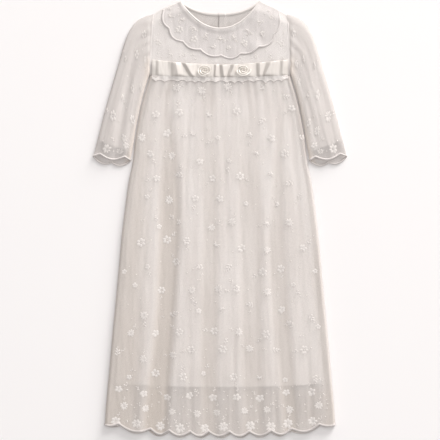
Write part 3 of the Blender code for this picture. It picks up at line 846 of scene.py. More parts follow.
def make_skirt(looks):
    def front(across, along):
        return skirt_place(across, along, front_z)

    def back(across, along):
        return skirt_place(across, along, back_z, back=True)

    def back_shade(x, y):
        return fold_shade(-x, y)

    net, edging, hem_edge_painted_shade = looks["skirt"], looks["edging"], looks["hem edge painted shade"]
    front_piece = cloth(
        "skirt_front_lace", net, "lace", 300, 160, front, SKIRT_CUT, flip=True, shade=fold_shade
    )
    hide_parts("skirt_front")
    back_piece = cloth("skirt_back_lace", net, "lace", 160, 70, back, SKIRT_CUT, shade=back_shade)
    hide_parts("skirt_back")
    # The front hem's cord is painted darker, as painted shade against the light on its top
    front_cord = cord("hem_cord_front", hem_edge_painted_shade, front_hem, HEM_CORD, 300, sides=8, flat=0.45)
    back_cord = cord("hem_cord_back", edging, back_hem, BACK_HEM_CORD, 300)
    front_flowers, back_flowers = embroider_skirt(looks)


def lining_point(u, along, z_at):
    """A point of a lining panel: u runs across from -1 to 1, and along from the seam to its hem."""
    seam_share = u * (1 - LINING_INSET_TOP / SEAM_HALF)
    y = mix(seam_y(seam_share) - SEAM_GAP, LINING_HEM_Y + LINING_HEM_RISE * u * u, along)
    x = u * (skirt_half(y) - mix(LINING_INSET_TOP, LINING_INSET_HEM, along))
    return Vector((x, y, z_at(x, y)))


LINING_CUT = (0.37, 0.50)
LINING_HEM_DEPTH = 14.0 * MM
LINING_HEM_MAP = (0.36, LINING_HEM_DEPTH)


def make_lining(looks):
    def front(across, along):
        return lining_point(2 * across - 1, along, lining_front_z)

    def back(across, along):
        return lining_point(2 * across - 1, along, lambda x, y: LINING_BACK_Z + lift(y))

    def turned_hem(across, along):
        point = lining_point(2 * across - 1, 1.0, lining_front_z)
        y = point.y + LINING_HEM_DEPTH * (1 - along)
        return Vector((point.x, y, lining_front_z(point.x, y) + mix(0.25, 0.5, along) * MM))

    plain = looks["lining"]
    front_piece = cloth("skirt_lining_front", plain, "lining", 200, 90, front, LINING_CUT, flip=True)
    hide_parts("lining_front")
    back_piece = cloth("skirt_lining_back", plain, "lining", 60, 50, back, LINING_CUT)
    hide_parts("lining_back")
    hem = cloth("lining_hem_front", plain, "lining", 200, 4, turned_hem, LINING_HEM_MAP, flip=True)


# Embroidery

def add_patch(target, long, wide, height, turn=0.0, offset=(0.0, 0.0), sides=8):
    """One raised patch of stitches, with its inner end at the offset and its length along the turn."""
    shape = bmesh.new()
    bmesh.ops.create_cone(shape, cap_ends=True, segments=sides, radius1=1.0, radius2=0.7, depth=1.0)
    foot = [face for face in shape.faces if face.normal.z < -0.5]
    bmesh.ops.delete(shape, geom=foot, context="FACES_ONLY")
    top = [face for face in shape.faces if face.normal.z > 0.9]
    bmesh.ops.poke(shape, faces=top, offset=0.25)
    bmesh.ops.translate(shape, vec=(1.0, 0.0, 0.5), verts=shape.verts[:])
    bmesh.ops.scale(shape, vec=(long / 2, wide / 2, height / 1.25), verts=shape.verts[:])
    uv = shape.loops.layers.uv.new("cloth")
    for face in shape.faces:
        for loop in face.loops:
            loop[uv].uv = loop.vert.co.xy
    patch = stored(shape, "patch")
    first = len(target.verts)
    target.from_mesh(patch)
    target.verts.ensure_lookup_table()
    cos, sin = math.cos(turn), math.sin(turn)
    for vert in target.verts[first:]:
        x, y = vert.co.x, vert.co.y
        vert.co.x, vert.co.y = x * cos - y * sin + offset[0], x * sin + y * cos + offset[1]
    bpy.data.meshes.remove(patch)


def new_motif():
    """An empty bmesh with the cloth's UV map."""
    shape = bmesh.new()
    shape.loops.layers.uv.new("cloth")
    return shape


def flower_motif(radius, petals, slim, seed, open_share=0.16):
    """Petals round a raised eye, none quite alike. open_share is how far out they start."""
    chance = random.Random(seed)
    shape = new_motif()
    for index in range(petals):
        turn = 2 * math.pi * (index + chance.uniform(-0.12, 0.12)) / petals
        start = (open_share * radius * math.cos(turn), open_share * radius * math.sin(turn))
        long = (1 - open_share + chance.uniform(-0.16, 0.06)) * radius
        add_patch(shape, long, slim * radius * chance.uniform(0.85, 1.1), 0.26 * MM, turn, start)
    eye = 0.13 * radius
    add_patch(shape, 2 * eye, 2 * eye, 0.4 * MM, 0.0, (-eye, 0.0), sides=6)
    return shape


def sprig_motif(length, leaves):
    """Leaves on a thin stem, with a bud at its tip."""
    shape = new_motif()
    add_patch(shape, length, 0.7 * MM, 0.3 * MM)
    for place, turn in leaves:
        add_patch(shape, 0.42 * length, 0.22 * length, 0.3 * MM, turn, (place * length, 0.0), sides=6)
    add_patch(shape, 2.2 * MM, 1.8 * MM, 0.35 * MM, 0.0, (length, 0.0), sides=6)
    return shape


def half_flower_motif(radius):
    """Three petals opening over two leaves."""
    shape = new_motif()
    for turn in (0.5, 1.57, 2.64):
        add_patch(shape, 0.9 * radius, 0.6 * radius, 0.45 * MM, turn)
    for turn in (-0.45, 3.6):
        add_patch(shape, 1.1 * radius, 0.28 * radius, 0.4 * MM, turn, sides=6)
    return shape


def dot_motif(radius):
    shape = new_motif()
    add_patch(shape, 2 * radius, 2 * radius, 0.5 * MM, 0.0, (-radius, 0.0), sides=6)
    return shape


FLOWERS = ["flower", "open flower", "small flower", "shell flower", "half flower", "spray"]
# Where each leaf leaves its stem, as a share of its length, and its turn in radians
TWIG_LEAVES = ((0.35, 0.9), (0.6, -0.8))
SPRIG_LEAVES = ((0.25, 0.8), (0.45, -0.8), (0.7, 0.7))
SPRAY_LEAVES = ((0.1, 1.1), (0.2, -1.0), (0.4, 0.8), (0.5, -0.7), (0.65, 0.5))


def make_motifs():
    shapes = {
        "flower": flower_motif(6.8 * MM, 5, 0.76, 1),
        "open flower": flower_motif(7.0 * MM, 6, 0.64, 2, open_share=0.26),
        "large flower": flower_motif(8.0 * MM, 7, 0.58, 3),
        "small flower": flower_motif(4.8 * MM, 5, 0.78, 4),
        "shell flower": flower_motif(6.8 * MM, 9, 0.40, 5),
        "half flower": half_flower_motif(5.4 * MM),
        "sprig": sprig_motif(12.0 * MM, SPRIG_LEAVES),
        "spray": sprig_motif(13.0 * MM, SPRAY_LEAVES),
        "twig": sprig_motif(8.0 * MM, TWIG_LEAVES),
        "dot": dot_motif(0.95 * MM),
    }
    return {name: stored(shape, f"{name} motif") for name, shape in shapes.items()}


Placed = namedtuple("Placed", "motif p q turn size")


def embroidery(name, looks, places, surface):
    """Motifs laid on a surface. surface(p, q, a, b, height) gives the point a and b metres from its
    place (p, q), raised by height."""
    shape = new_motif()
    for place in places:
        first = len(shape.verts)
        shape.from_mesh(looks["motifs"][place.motif])
        shape.verts.ensure_lookup_table()
        cos, sin = math.cos(place.turn) * place.size, math.sin(place.turn) * place.size
        for vert in shape.verts[first:]:
            a, b = vert.co.x * cos - vert.co.y * sin, vert.co.x * sin + vert.co.y * cos
            vert.co = surface(place.p, place.q, a, b, vert.co.z)
    return finish_piece(shape, name, looks["stitch"])


SKIRT_REPEAT = (43.0 * MM, 35.0 * MM)
FIRST_ROW_BELOW_SEAM = 26.0 * MM
LAST_ROW_ABOVE_HEM = 84 * MM
SPRIG_AWAY = 7.5 * MM
FLOWER_MARGIN = 8.0 * MM
# The lines of flowers along the hem: how far above it each is, and the space between its flowers
HemLine = namedtuple("HemLine", "motif above spacing")
HEM_LINES = [
    HemLine("large flower", 15.0 * MM, 33.0 * MM),
    HemLine("shell flower", 40.0 * MM, 36.0 * MM),
    HemLine("flower", 64.0 * MM, 38.0 * MM),
]
HEM_LINE_HALF = 178 * MM
HEM_LINE_SHARE = 0.94


def around(x, y, away, reach):
    """The point so far from another, in the direction away."""
    return x + reach * math.cos(away), y + reach * math.sin(away)


def scatter_flowers(add, chance):
    """A half-drop repeat, loosely placed. Some flowers have a sprig beside them, and dots lie between."""
    across, down = SKIRT_REPEAT
    row, y = 0, SEAM_Y - FIRST_ROW_BELOW_SEAM
    while y > HEM_Y + LAST_ROW_ABOVE_HEM:
        x = -skirt_half(y) + across * (0.62 if row % 2 else 0.18)
        while x < skirt_half(y):
            px, py = x + chance.uniform(-8, 8) * MM, y + chance.uniform(-9, 9) * MM
            kind = chance.choice(FLOWERS)
            turn = chance.uniform(0, 2 * math.pi)
            add(kind, px, py, turn)
            if chance.random() < 0.6:
                away = chance.uniform(0, 2 * math.pi)
                sprig = chance.choice(["sprig", "twig"])
                add(sprig, *around(px, py, away, SPRIG_AWAY), away, 0.85)
            for _ in range(chance.choice([1, 1, 2])):
                add("dot", x + chance.uniform(9, 28) * MM, y + chance.uniform(-16, 16) * MM)
            x += across
        row += 1
        y -= down


def line_hem(add, chance, back):
    """Lines of flowers along the hem, each with a twig and three dots."""
    for number, line in enumerate(HEM_LINES):
        count = int(2 * HEM_LINE_HALF / line.spacing)
        for index in range(count):
            place = (index + (0.5 if number % 2 else 0.25) + chance.uniform(-0.15, 0.15)) / count
            u = -HEM_LINE_SHARE + 2 * HEM_LINE_SHARE * place
            hem = hem_line_y(u) - (BACK_HEM_DROP if back else 0.0)
            y = hem + line.above + chance.uniform(-4, 4) * MM
            x = u * skirt_half(y)
            add(line.motif, x, y, chance.uniform(0, 2 * math.pi))
            away = chance.uniform(0.3, 2.8)
            add("twig", *around(x, y, away, SPRIG_AWAY), away, 0.9)
            for _ in range(3):
                add("dot", x + chance.uniform(9, 26) * MM, y + chance.uniform(-5, 12) * MM, 0.0, 1.15)


def skirt_places(seed, back=False):
    """The motifs of a skirt panel, where there is room for them inside its sides."""
    chance = random.Random(seed)
    places = []

    def add(motif, x, y, turn=0.0, size=1.0):
        if abs(x) < skirt_half(y) - FLOWER_MARGIN:
            places.append(Placed(motif, x, y, turn, size * chance.uniform(0.9, 1.08)))

    scatter_flowers(add, chance)
    line_hem(add, chance, back)
    return places


# Raised stitches show on the back of the net at this share of their height
WRONG_SIDE_SHARE = 0.6
LOWEST_STITCH = 0.05 * MM


def embroider_skirt(looks):
    def on_front(p, q, a, b, height):
        x, y = p + a, q + b
        return Vector((x, y, front_z(x, y) + height))

    def on_back(p, q, a, b, height):
        x, y = p + a, q + b
        under = back_z(x, y) - LOWEST_STITCH - WRONG_SIDE_SHARE * height
        return Vector((x, y, max(under, LOWEST_STITCH)))

    return (
        embroidery("embroidery_skirt_front", looks, skirt_places(3), on_front),
        embroidery("embroidery_skirt_back", looks, skirt_places(8, back=True), on_back),
    )


# The yoke and neck

YOKE_CUT = (0.225, 0.12)
YOKE_BACK_CUT = (0.118, 0.12)
YOKE_WALL = 0.4 * MM
YOKE_RUMPLE = 0.35 * MM
BINDING_WIDTH = 5.0 * MM
BINDING_FRONT_WIDTH = 3.2 * MM
BINDING_FRONT_CUT = (0.16, 0.01)
BINDING_BACK_CUT = (0.135, 0.01)


def shoulder_y(x):
    share = min(max((abs(x) - NECK_HALF) / (SHOULDER_X - NECK_HALF), 0.0), 1.0)
    return mix(NECK_TIP_Y, SHOULDER_Y, share) + SHOULDER_BOW * math.sin(math.pi * share)


def neck_y(x, drop, power):
    return NECK_TIP_Y - drop * (1 - min(abs(x) / NECK_HALF, 1.0) ** power)


def armhole_x(y):
    return mix(SHOULDER_X, UNDERARM_X, (SHOULDER_Y - y) / (SHOULDER_Y - UNDERARM_Y))


def yoke_z(x, y):
    """The yoke rises from its shoulder seams and from the underarms."""
    from_shoulder = ease((shoulder_y(x) - y) / RISE_REACH)
    from_underarm = ease(math.hypot(abs(x) - UNDERARM_X, y - UNDERARM_Y) / RISE_REACH)
    return mix(SHOULDER_Z, YOKE_FRONT_Z, from_shoulder * from_underarm) + rumple(x, y, YOKE_RUMPLE)


def yoke_point(c, along, drop, power):
    """A place on a yoke panel: c runs across from -1 to 1, and along from its top edge to the waist seam."""
    if abs(c) <= NECK_SHARE:
        top_x = NECK_HALF * c / NECK_SHARE
        top_y = neck_y(top_x, drop, power)
    else:
        top_x = math.copysign(mix(NECK_HALF, SHOULDER_X, (abs(c) - NECK_SHARE) / (1 - NECK_SHARE)), c)
        top_y = shoulder_y(top_x)
    x, y = mix(top_x, SEAM_HALF * c, along), mix(top_y, seam_y(c), along)
    limit = armhole_x(y)
    return min(max(x, -limit), limit), y


def make_yoke(looks):
    def front(across, along):
        x, y = yoke_point(2 * across - 1, along, FRONT_NECK_DROP, FRONT_NECK_POWER)
        return Vector((x, y, yoke_z(x, y)))

    lace = looks["yoke"]
    piece = cloth("yoke_front_lace", lace, "lace", 120, 40, front, YOKE_CUT, flip=True, wall=YOKE_WALL)
    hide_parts("yoke_front")
    flowers = embroider_yoke(looks)
    seams = [make_armhole_seam(side, name, looks) for side, name in SIDES]
    make_yoke_back("left", 1, PLACKET_OVER_X, looks)
    make_yoke_back("right", -1, PLACKET_UNDER_X, looks)
    make_neck_binding(looks)


def make_yoke_back(name, side, edge_x, looks):
    """Half of the yoke's back, with its inside up. The wearer's left half lies over the right one."""
    edge = edge_x / mix(NECK_HALF / NECK_SHARE, SEAM_HALF, 0.5)

    def place(across, along):
        x, y = yoke_point(mix(edge, side, across), along, BACK_NECK_DROP, BACK_NECK_POWER)
        past = ease((x - PLACKET_UNDER_X - 0.3 * MM) / PLACKET_SLOPE)
        raised = PLACKET_STEP * (1 - past) if side > 0 else 0.0
        return Vector((x, y, YOKE_BACK_Z + raised))

    lace_name = f"yoke_back_{name}_lace"
    # The inside of the back yoke takes the darker lace with painted shade
    lace = looks["inner"]
    piece = cloth(lace_name, lace, "lace", 60, 36, place, YOKE_BACK_CUT, flip=side > 0, wall=YOKE_WALL)
    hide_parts(f"yoke_back_{name}")


def make_neck_binding(looks):
    def front(across, along):
        x = NECK_HALF * (2 * across - 1)
        y = neck_y(x, FRONT_NECK_DROP, FRONT_NECK_POWER)
        up = Vector((-FRONT_NECK_POWER * x / NECK_HALF * FRONT_NECK_DROP / NECK_HALF, 1.0, 0.0)).normalized()
        point = Vector((x, y, 0.0)) - up * BINDING_FRONT_WIDTH * along
        return Vector((point.x, point.y, yoke_z(x, y) + (1.2 + 0.9 * math.sin(math.pi * along)) * MM))

    def back(across, along):
        x = (NECK_HALF - 1 * MM) * (2 * across - 1)
        y = neck_y(x, BACK_NECK_DROP, BACK_NECK_POWER) - BINDING_WIDTH * along
        raised = PLACKET_STEP if PLACKET_OVER_X < x < PLACKET_UNDER_X + 3 * MM else 0.0
        return Vector((x, y, YOKE_BACK_Z + raised + (0.5 + 0.7 * math.sin(math.pi * along)) * MM))

    bias = looks["binding"]
    piece = cloth("neck_binding_front", bias, "lace", 120, 5, front, BINDING_FRONT_CUT, flip=True)
    piece = cloth("neck_binding_back", bias, "lace", 120, 5, back, BINDING_BACK_CUT, flip=True)


def make_armhole_seam(side, name, looks):
    """The turned seam between the yoke and a sleeve."""

    def path(share):
        y = mix(SHOULDER_Y - 1.5 * MM, UNDERARM_Y + 2.5 * MM, share)
        x = armhole_x(y) + 0.6 * MM
        return Vector((side * x, y, yoke_z(x, y) - 0.8 * MM))

    return cord(f"armhole_seam_{name}", looks["yoke"], path, 2.2 * MM, 50, sides=10, flat=0.5)


# The yoke's flowers on each side, in mm
YOKE_FLOWERS = (
    (96, 316, "small flower"),
    (99, 296, "twig"),
    (97, 281, "flower"),
    (78, 268, "sprig"),
    (60, 263, "small flower"),
    (100, 263, "twig"),
    (36, 262, "twig"),
)


def embroider_yoke(looks):
    def on_yoke(p, q, a, b, height):
        x, y = p + a, q + b
        return Vector((x, y, yoke_z(x, y) + LOWEST_STITCH + height))

    chance = random.Random(14)
    places = []
    for side in (1, -1):
        for x, y, kind in YOKE_FLOWERS:
            px, py = (side * x + chance.uniform(-3, 3)) * MM, (y + chance.uniform(-3, 3)) * MM
            places.append(Placed(kind, px, py, chance.uniform(0, 6.28), 0.8))
            places.append(Placed("dot", *around(px, py, x, 7 * MM), 0.0, 1.0))
    return embroidery("embroidery_yoke", looks, places, on_yoke)


COLLAR_MAP = (0.30, 0.05)
COLLAR_BACK_MAP = (0.10, 0.036)
COLLAR_GAP = 0.5 * MM
COLLAR_RIPPLE = 0.6 * MM
COLLAR_CURL = 0.15 * MM
COLLAR_LIFT = 1.6 * MM
COLLAR_LIFT_AT = 0.46
COLLAR_ROLL = 1.3 * MM
COLLAR_RUMPLE = 0.3 * MM
COLLAR_CORD = 1.4 * MM
COLLAR_CORD_AT = 0.97


def lobed(inner, outer, out, lobe):
    """The point so far out between two, drawn in where it is between the collar's lobes."""
    return inner.lerp(outer, out - COLLAR_LOBE_DEPTH * (1 - lobe) / (outer - inner).length * out ** 4)


def collar_point(across, out):
    """The front collar rolls over at the neck, ripples at its edge and stands off the yoke in one place."""
    c = 2 * across - 1
    inner = Vector((NECK_HALF * c, neck_y(NECK_HALF * c, FRONT_NECK_DROP, FRONT_NECK_POWER), 0.0))
    outer = Vector((read(COLLAR_EDGE, "along", "x", c) * MM, read(COLLAR_EDGE, "along", "y", c) * MM, 0.0))
    flat = lobed(inner, outer, out, scallop(across, COLLAR_LOBES))
    loose = mix(1.0, 0.45, ease(0.5 + 1.2 * c))
    ripple = COLLAR_RIPPLE * loose * wave(4 * across + 0.06 * math.sin(9 * across)) * out ** 1.6
    curl = COLLAR_CURL * loose * bump((out - 1.0) / 0.25)
    lifted = COLLAR_LIFT * bump((c - COLLAR_LIFT_AT) / 0.15) * out ** 2
    roll = COLLAR_ROLL * bump((out - 0.07) / 0.16)
    z = yoke_z(flat.x, flat.y) + COLLAR_GAP + ripple + curl + lifted + roll
    return Vector((flat.x, flat.y, z + rumple(flat.x, flat.y, COLLAR_RUMPLE)))


def on_collar(p, q, a, b, height):
    """A stitch a metres across and b metres up from the collar's place (p, q)."""
    point = collar_point(p, q) + Vector((a, b, 0.0))
    return Vector((point.x, point.y, point.z + 0.15 * MM + height))


def collar_places():
    """A flower, a sprig, a twig and three dots in each lobe, and a half flower between lobes."""
    chance = random.Random(5)
    places = []
    for index in range(COLLAR_LOBES):
        middle = (index + 0.5) / COLLAR_LOBES
        kind = chance.choice(FLOWERS)
        places.append(Placed(kind, middle + chance.uniform(-0.015, 0.015), 0.64, chance.uniform(0, 6), 0.9))
        places.append(Placed("sprig", middle - 0.035, 0.50, chance.uniform(1.6, 3.4), 0.62))
        places.append(Placed("twig", middle + 0.03, 0.43, chance.uniform(-0.6, 1.2), 0.8))
        if index:
            places.append(Placed("half flower", index / COLLAR_LOBES, 0.34, chance.uniform(0, 6), 0.75))
        for _ in range(3):
            across = middle + chance.uniform(-0.05, 0.05)
            places.append(Placed("dot", across, chance.uniform(0.2, 0.86), 0.0, 1.0))
    return places


def make_collar(looks):
    net = looks["collar"]
    piece = cloth("collar_front_lace", net, "lace", 230, 30, collar_point, COLLAR_MAP, flip=True)
    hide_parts("collar_front")

    def edge(share):
        return collar_point(share, COLLAR_CORD_AT)

    rim = cord("collar_cord_front", looks["collar edge"], edge, COLLAR_CORD, 240, flat=0.25)
    flowers = embroidery("embroidery_collar", looks, collar_places(), on_collar)
    for side, name in SIDES:
        make_collar_back(side, name, looks)


COLLAR_BACK_LOBES = 4
COLLAR_BACK_Z = 0.75 * MM


def make_collar_back(side, name, looks):
    """Half of the back collar, under the back yoke and open at the middle."""

    def place(across, along):
        x = max(NECK_HALF * across, 1.2 * MM)
        inner = Vector((x, neck_y(NECK_HALF * across, BACK_NECK_DROP, BACK_NECK_POWER), 0.0))
        edge_x = read(COLLAR_BACK_EDGE, "along", "x", across)
        edge_y = read(COLLAR_BACK_EDGE, "along", "y", across)
        outer = Vector((edge_x, edge_y, 0.0)) * MM
        flat = lobed(inner, outer, along, scallop(across, COLLAR_BACK_LOBES))
        return Vector((side * flat.x, flat.y, COLLAR_BACK_Z))

    def edge(share):
        return place(share, 1.0)

    net = looks["collar"]
    piece = cloth(f"collar_back_{name}_lace", net, "lace", 90, 16, place, COLLAR_BACK_MAP, flip=side < 0)
    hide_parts(f"collar_back_{name}")
    rim = cord(f"collar_cord_{name}", looks["edging"], edge, 0.7 * MM, 110)


# The ribbon, roses and frill

RIBBON_MAP = (0.30, 0.026)
RIBBON_WALL = 0.3 * MM
RIBBON_BASE_Z = 1.3 * MM
RIBBON_RIPPLE = 0.22 * MM


def ribbon_z(x, v):
    """The height of the ruched ribbon. v is 0 at its lower edge and 1 at its upper one."""
    lines = [(mix(crease.lower, crease.upper, v) * MM, crease.height * MM) for crease in CREASES]
    height = 0.0
    for (start, low), (end, high) in zip(lines, lines[1:]):
        if start <= x <= end:
            share = (x - start) / (end - start)
            height = RUCHE_SHARE * mix(low, high, mix(share, ease(share), 0.35))
    v = min(max(v, 0.0), 1.0)
    puff = mix(mix(0.4, 0.8, v), 1.0, min(2.2 * math.sin(math.pi * v), 1.0) ** 0.6)
    return height * puff + RIBBON_RIPPLE * noise.noise(Vector((x * 300, v * 1.6, 4.0)))


def ribbon_shade(x, y):
    """Painted shade: up to 1 where the ribbon rises towards the wearer's left, on facets that face away from
    the key light.
    """
    v = (y - seam_y(x / SEAM_HALF)) / ribbon_width(x)
    rise = (ribbon_z(x + 1.0 * MM, v) - ribbon_z(x - 1.0 * MM, v)) / (2.0 * MM)
    return ease(rise / 0.5)


def ribbon_width(x):
    """The ribbon is drawn in towards the middle."""
    return RIBBON_WIDTH - RIBBON_DRAWN * (1 - (x / RIBBON_HALF) ** 2) ** 1.5


def ribbon_place(across, along):
    x = mix(-RIBBON_HALF, RIBBON_HALF, across)
    v = 1 - along
    raised = ribbon_z(x, v)
    y = seam_y(x / SEAM_HALF) + 0.5 * MM + ribbon_width(x) * v - 0.22 * raised * (2 * v - 1)
    return Vector((x, y, yoke_z(x, y) + RIBBON_BASE_Z + raised))


def make_ribbon(looks):
    piece = cloth(
        "ribbon_satin",
        looks["satin"],
        "satin",
        360,
        22,
        ribbon_place,
        RIBBON_MAP,
        flip=True,
        wall=RIBBON_WALL,
        shade=ribbon_shade,
    )
    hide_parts("ribbon")
    for name, x in ROSE_X.items():
        make_rose(name, x, looks)


# The rose's rolled ribbon at its middle and at its outer turn, in mm: its radius and its height
ROSE_RADII = (0.6, 9.2)
ROSE_HEIGHTS = (4.0, 3.0)
ROSE_STRETCH = (1.1, 0.84)
ROSE_FOOT = 2.2 * MM
ROSE_MAP = (0.11, 0.01)
ROSE_WALL = 0.35 * MM


def make_rose(name, x, looks):
    """Ribbon rolled from the middle outwards, each turn lower and more open than the last."""
    middle = Vector((x, seam_y(x / SEAM_HALF) + ROSE_RISE, 0.0))
    foot = yoke_z(middle.x, middle.y) + ROSE_FOOT
    tilt = 0.5 if x < 0 else 2.1
    wide, high = ROSE_STRETCH

    def place(share, along):
        angle = 2 * math.pi * ROSE_TURNS * share + tilt
        petal = 0.5 + 0.5 * math.sin(2.3 * angle + tilt)
        radius = mix(*ROSE_RADII, share ** 0.9) * MM
        radius += (0.7 + 1.4 * share ** 0.5 + 0.5 * petal * share) * MM * along ** 1.3
        height = mix(*ROSE_HEIGHTS, share) * MM * along ** 0.6
        height -= (0.3 + 0.7 * petal) * share * MM * along ** 4
        x, y = wide * radius * math.cos(angle), high * radius * math.sin(angle)
        return middle + Vector((x, y, foot + height))

    piece = cloth(f"{name}_petals", looks["rose"], "satin", 200, 10, place, ROSE_MAP, wall=ROSE_WALL)
    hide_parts(name)


FRILL_POINTS = 14
FRILL_TOP = 1.0 * MM
FRILL_MAP = (0.34, 0.013)
FRILL_CORD = 0.45 * MM
FRILL_OVER_RIBBON = 1.6 * MM
FRILL_DROP = 1.8 * MM
# A few longer points on the wearer's left
LONG_POINTS_X = 70 * MM
LONG_POINTS_REACH = 16 * MM


def frill_length(x, across, uneven):
    """How far the frill hangs, in mm, with a point at each tooth."""
    tooth = 1 - abs(math.cos(math.pi * FRILL_POINTS * uneven)) ** 0.8
    longer = 2.4 * tooth * bump((x - LONG_POINTS_X) / LONG_POINTS_REACH)
    return 5.0 + 3.4 * tooth + longer + 0.8 * math.sin(23 * across)


def frill_place(across, along):
    """From over the ribbon's lower edge down to the skirt."""
    x = mix(-RIBBON_HALF, RIBBON_HALF, across)
    seam = seam_y(x / SEAM_HALF)
    uneven = across + 0.014 * math.sin(2 * math.pi * 3.3 * across)
    y = seam + FRILL_TOP - (FRILL_TOP + frill_length(x, across, uneven) * MM) * along
    on_skirt = front_z(x, min(y, seam)) + 0.3 * MM
    above = max(y - seam - 0.5 * MM, 0.0) / RIBBON_WIDTH
    on_ribbon = yoke_z(x, seam) + FRILL_OVER_RIBBON + ribbon_z(x, above)
    flounce = 0.4 * MM * wave(FRILL_POINTS * uneven) * along
    lowest = max(on_skirt, on_ribbon - FRILL_DROP)
    return Vector((x, y, mix(on_ribbon, lowest, ease(along * 1.2)) + flounce))


def make_frill(looks):
    def edge(share):
        return frill_place(share, 1.0)

    piece = cloth("frill_lace", looks["frill"], "lace", 300, 8, frill_place, FRILL_MAP, flip=True)
    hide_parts("frill")
    rim = cord("frill_cord", looks["edging"], edge, FRILL_CORD, 300, sides=5)


# The sleeves

# Shares of the way round a flattened sleeve: its top layer, and each of its two rounded edges
TOP_SHARE = 0.46
ARC_SHARE = 0.04
SLEEVE_CUT = (0.19, 0.235)
SLEEVE_LINING_CUT = (0.17, 0.21)
SLEEVE_LENGTH = 0.2
SLEEVE_RUMPLE = 0.5 * MM
SLEEVE_GATHER = 1.4 * MM
LEAST_SLEEVE_HEIGHT = 1.2 * MM
LINING_FOLLOWS = 0.75
LINING_UNDER_LACE = 1.4 * MM
LINING_EDGE_INSET = 2.9 * MM
CUFF_START = 0.86
CUFF_CORD = 1.4 * MM


def sleeve_at(down, column):
    """A column of the sleeve's table so far down the sleeve, from 0 to 1."""
    return read(SLEEVE, "index", column, down * LAST_SECTION)


def sleeve_frame(down):
    """The middle of the sleeve's section so far down it, the direction across it, and half its width."""
    outer = Vector((sleeve_at(down, "outer_x"), sleeve_at(down, "outer_y"), 0.0)) * MM
    inner = Vector((sleeve_at(down, "inner_x"), sleeve_at(down, "inner_y"), 0.0)) * MM
    return (outer + inner) / 2, (inner - outer).normalized(), (inner - outer).length / 2


def crown_of(side, across):
    """The sleeve's round back, fuller by the skirt on the wearer's left."""
    power = 3.4 if side > 0 and across > 0 else 2.6
    return (1 - min(abs(across), 1.0) ** power) ** (1 / power)


def furrowed(side, across, down, crown):
    """How far the soft troughs lower the sleeve."""
    sunk = 0.0
    for furrow in FURROWS:
        if furrow.side == side:
            middle = mix(furrow.across_top, furrow.across_foot, down)
            depth = mix(furrow.top, furrow.foot, ease(down * 1.3)) * ease(down / 0.12)
            sunk += depth * MM * bump((across - middle) / furrow.half_width) * crown
    return sunk


def sleeve_height(side, across, down, inset):
    """The height of the sleeve's upper layer, inset by so much from the lace."""
    base = sleeve_at(down, "base") * MM
    top = base + sleeve_at(down, "height") * MM - inset
    radius = SLEEVE_EDGE_RADIUS - inset
    crown = crown_of(side, across)
    sunk = furrowed(side, across, down, crown)
    gathered = SLEEVE_GATHER * wave(SLEEVE_HEAD_GATHERS * (across + 1) / 2) * math.exp(-down / 0.1) * crown
    gathered *= ease(down / 0.05)
    height = mix(base + inset + radius, top, crown)
    height -= SLEEVE_HEAD_DIP * (1 - ease(down / 0.07)) * crown
    share, uneven = LINING_FOLLOWS, 0.0
    if inset == 0.0:
        share = 1.0
        uneven = rumple(side * (across + 2.5) * 0.05, 1.0 - 0.23 * down, SLEEVE_RUMPLE) * crown
    return max(height + gathered * share - sunk * share + uneven, base + inset + LEAST_SLEEVE_HEIGHT)


def sleeve_top(side, across, down):
    """A point of the lace's upper layer."""
    middle, direction, half = sleeve_frame(down)
    point = middle + direction * across * half
    return Vector((side * point.x, point.y, sleeve_height(side, across, down, 0.0)))


def cuff_reach(share, offset, half):
    """How far the cuff's scallops reach past the sleeve's end. The under layer shows beyond the top one."""
    over = (offset / half + 1) / 4
    round_share = over if share <= TOP_SHARE else 1 - over
    reach = CUFF_SCALLOP_DEPTH * (scallop(round_share + 0.25, CUFF_SCALLOPS) - 0.5)
    if share > TOP_SHARE:
        reach += CUFF_UNDER_DROP * math.sin(math.pi * (share - TOP_SHARE) / (1 - TOP_SHARE))
    return reach


def sleeve_surface(side, share, down, inset=0.0, edge_inset=0.0):
    """A point of the flattened tube: share runs round it, over the top first, from its outer edge."""
    centre, direction, half = sleeve_frame(down)
    half -= edge_inset
    base = sleeve_at(down, "base") * MM + (inset or SLEEVE_UNDER_Z)
    radius = SLEEVE_EDGE_RADIUS - inset
    share = share % 1.0
    if share <= TOP_SHARE:
        across = -math.cos(math.pi * share / TOP_SHARE)
        offset, z = across * half, sleeve_height(side, across, down, inset)
    elif share <= TOP_SHARE + ARC_SHARE:
        turn = math.pi / 2 * (share - TOP_SHARE) / ARC_SHARE
        offset, z = half - radius + radius * math.cos(turn), base + radius - radius * math.sin(turn)
    elif share <= 2 * TOP_SHARE + ARC_SHARE:
        part = (share - TOP_SHARE - ARC_SHARE) / TOP_SHARE
        offset, z = mix(half - radius, radius - half, part), base
    else:
        turn = math.pi / 2 * (1 - (share - 2 * TOP_SHARE - ARC_SHARE) / ARC_SHARE)
        offset, z = -(half - radius + radius * math.cos(turn)), base + radius - radius * math.sin(turn)
    point = centre + direction * offset
    if inset == 0.0 and down > CUFF_START:
        reach = cuff_reach(share, offset, half)
        point += UP.cross(direction) * reach * ease((down - CUFF_START) / (1 - CUFF_START))
    return Vector((side * point.x, point.y, z))


# Where each flower of the cuff is across the sleeve and down it
CUFF_FLOWERS = [
    (-0.36, 0.945, "large flower"),
    (0.34, 0.94, "shell flower"),
    (0.0, 0.87, "twig"),
    (0.62, 0.86, "flower"),
]


def make_sleeves(looks):
    for side, name in SIDES:
        make_sleeve(side, name, looks)


# How strong the painted light on the sleeve's net is beside the skirt, and how far it reaches
SLEEVE_PAINTED_LIGHT = 0.8
SLEEVE_PAINTED_LIGHT_REACH = 14 * MM


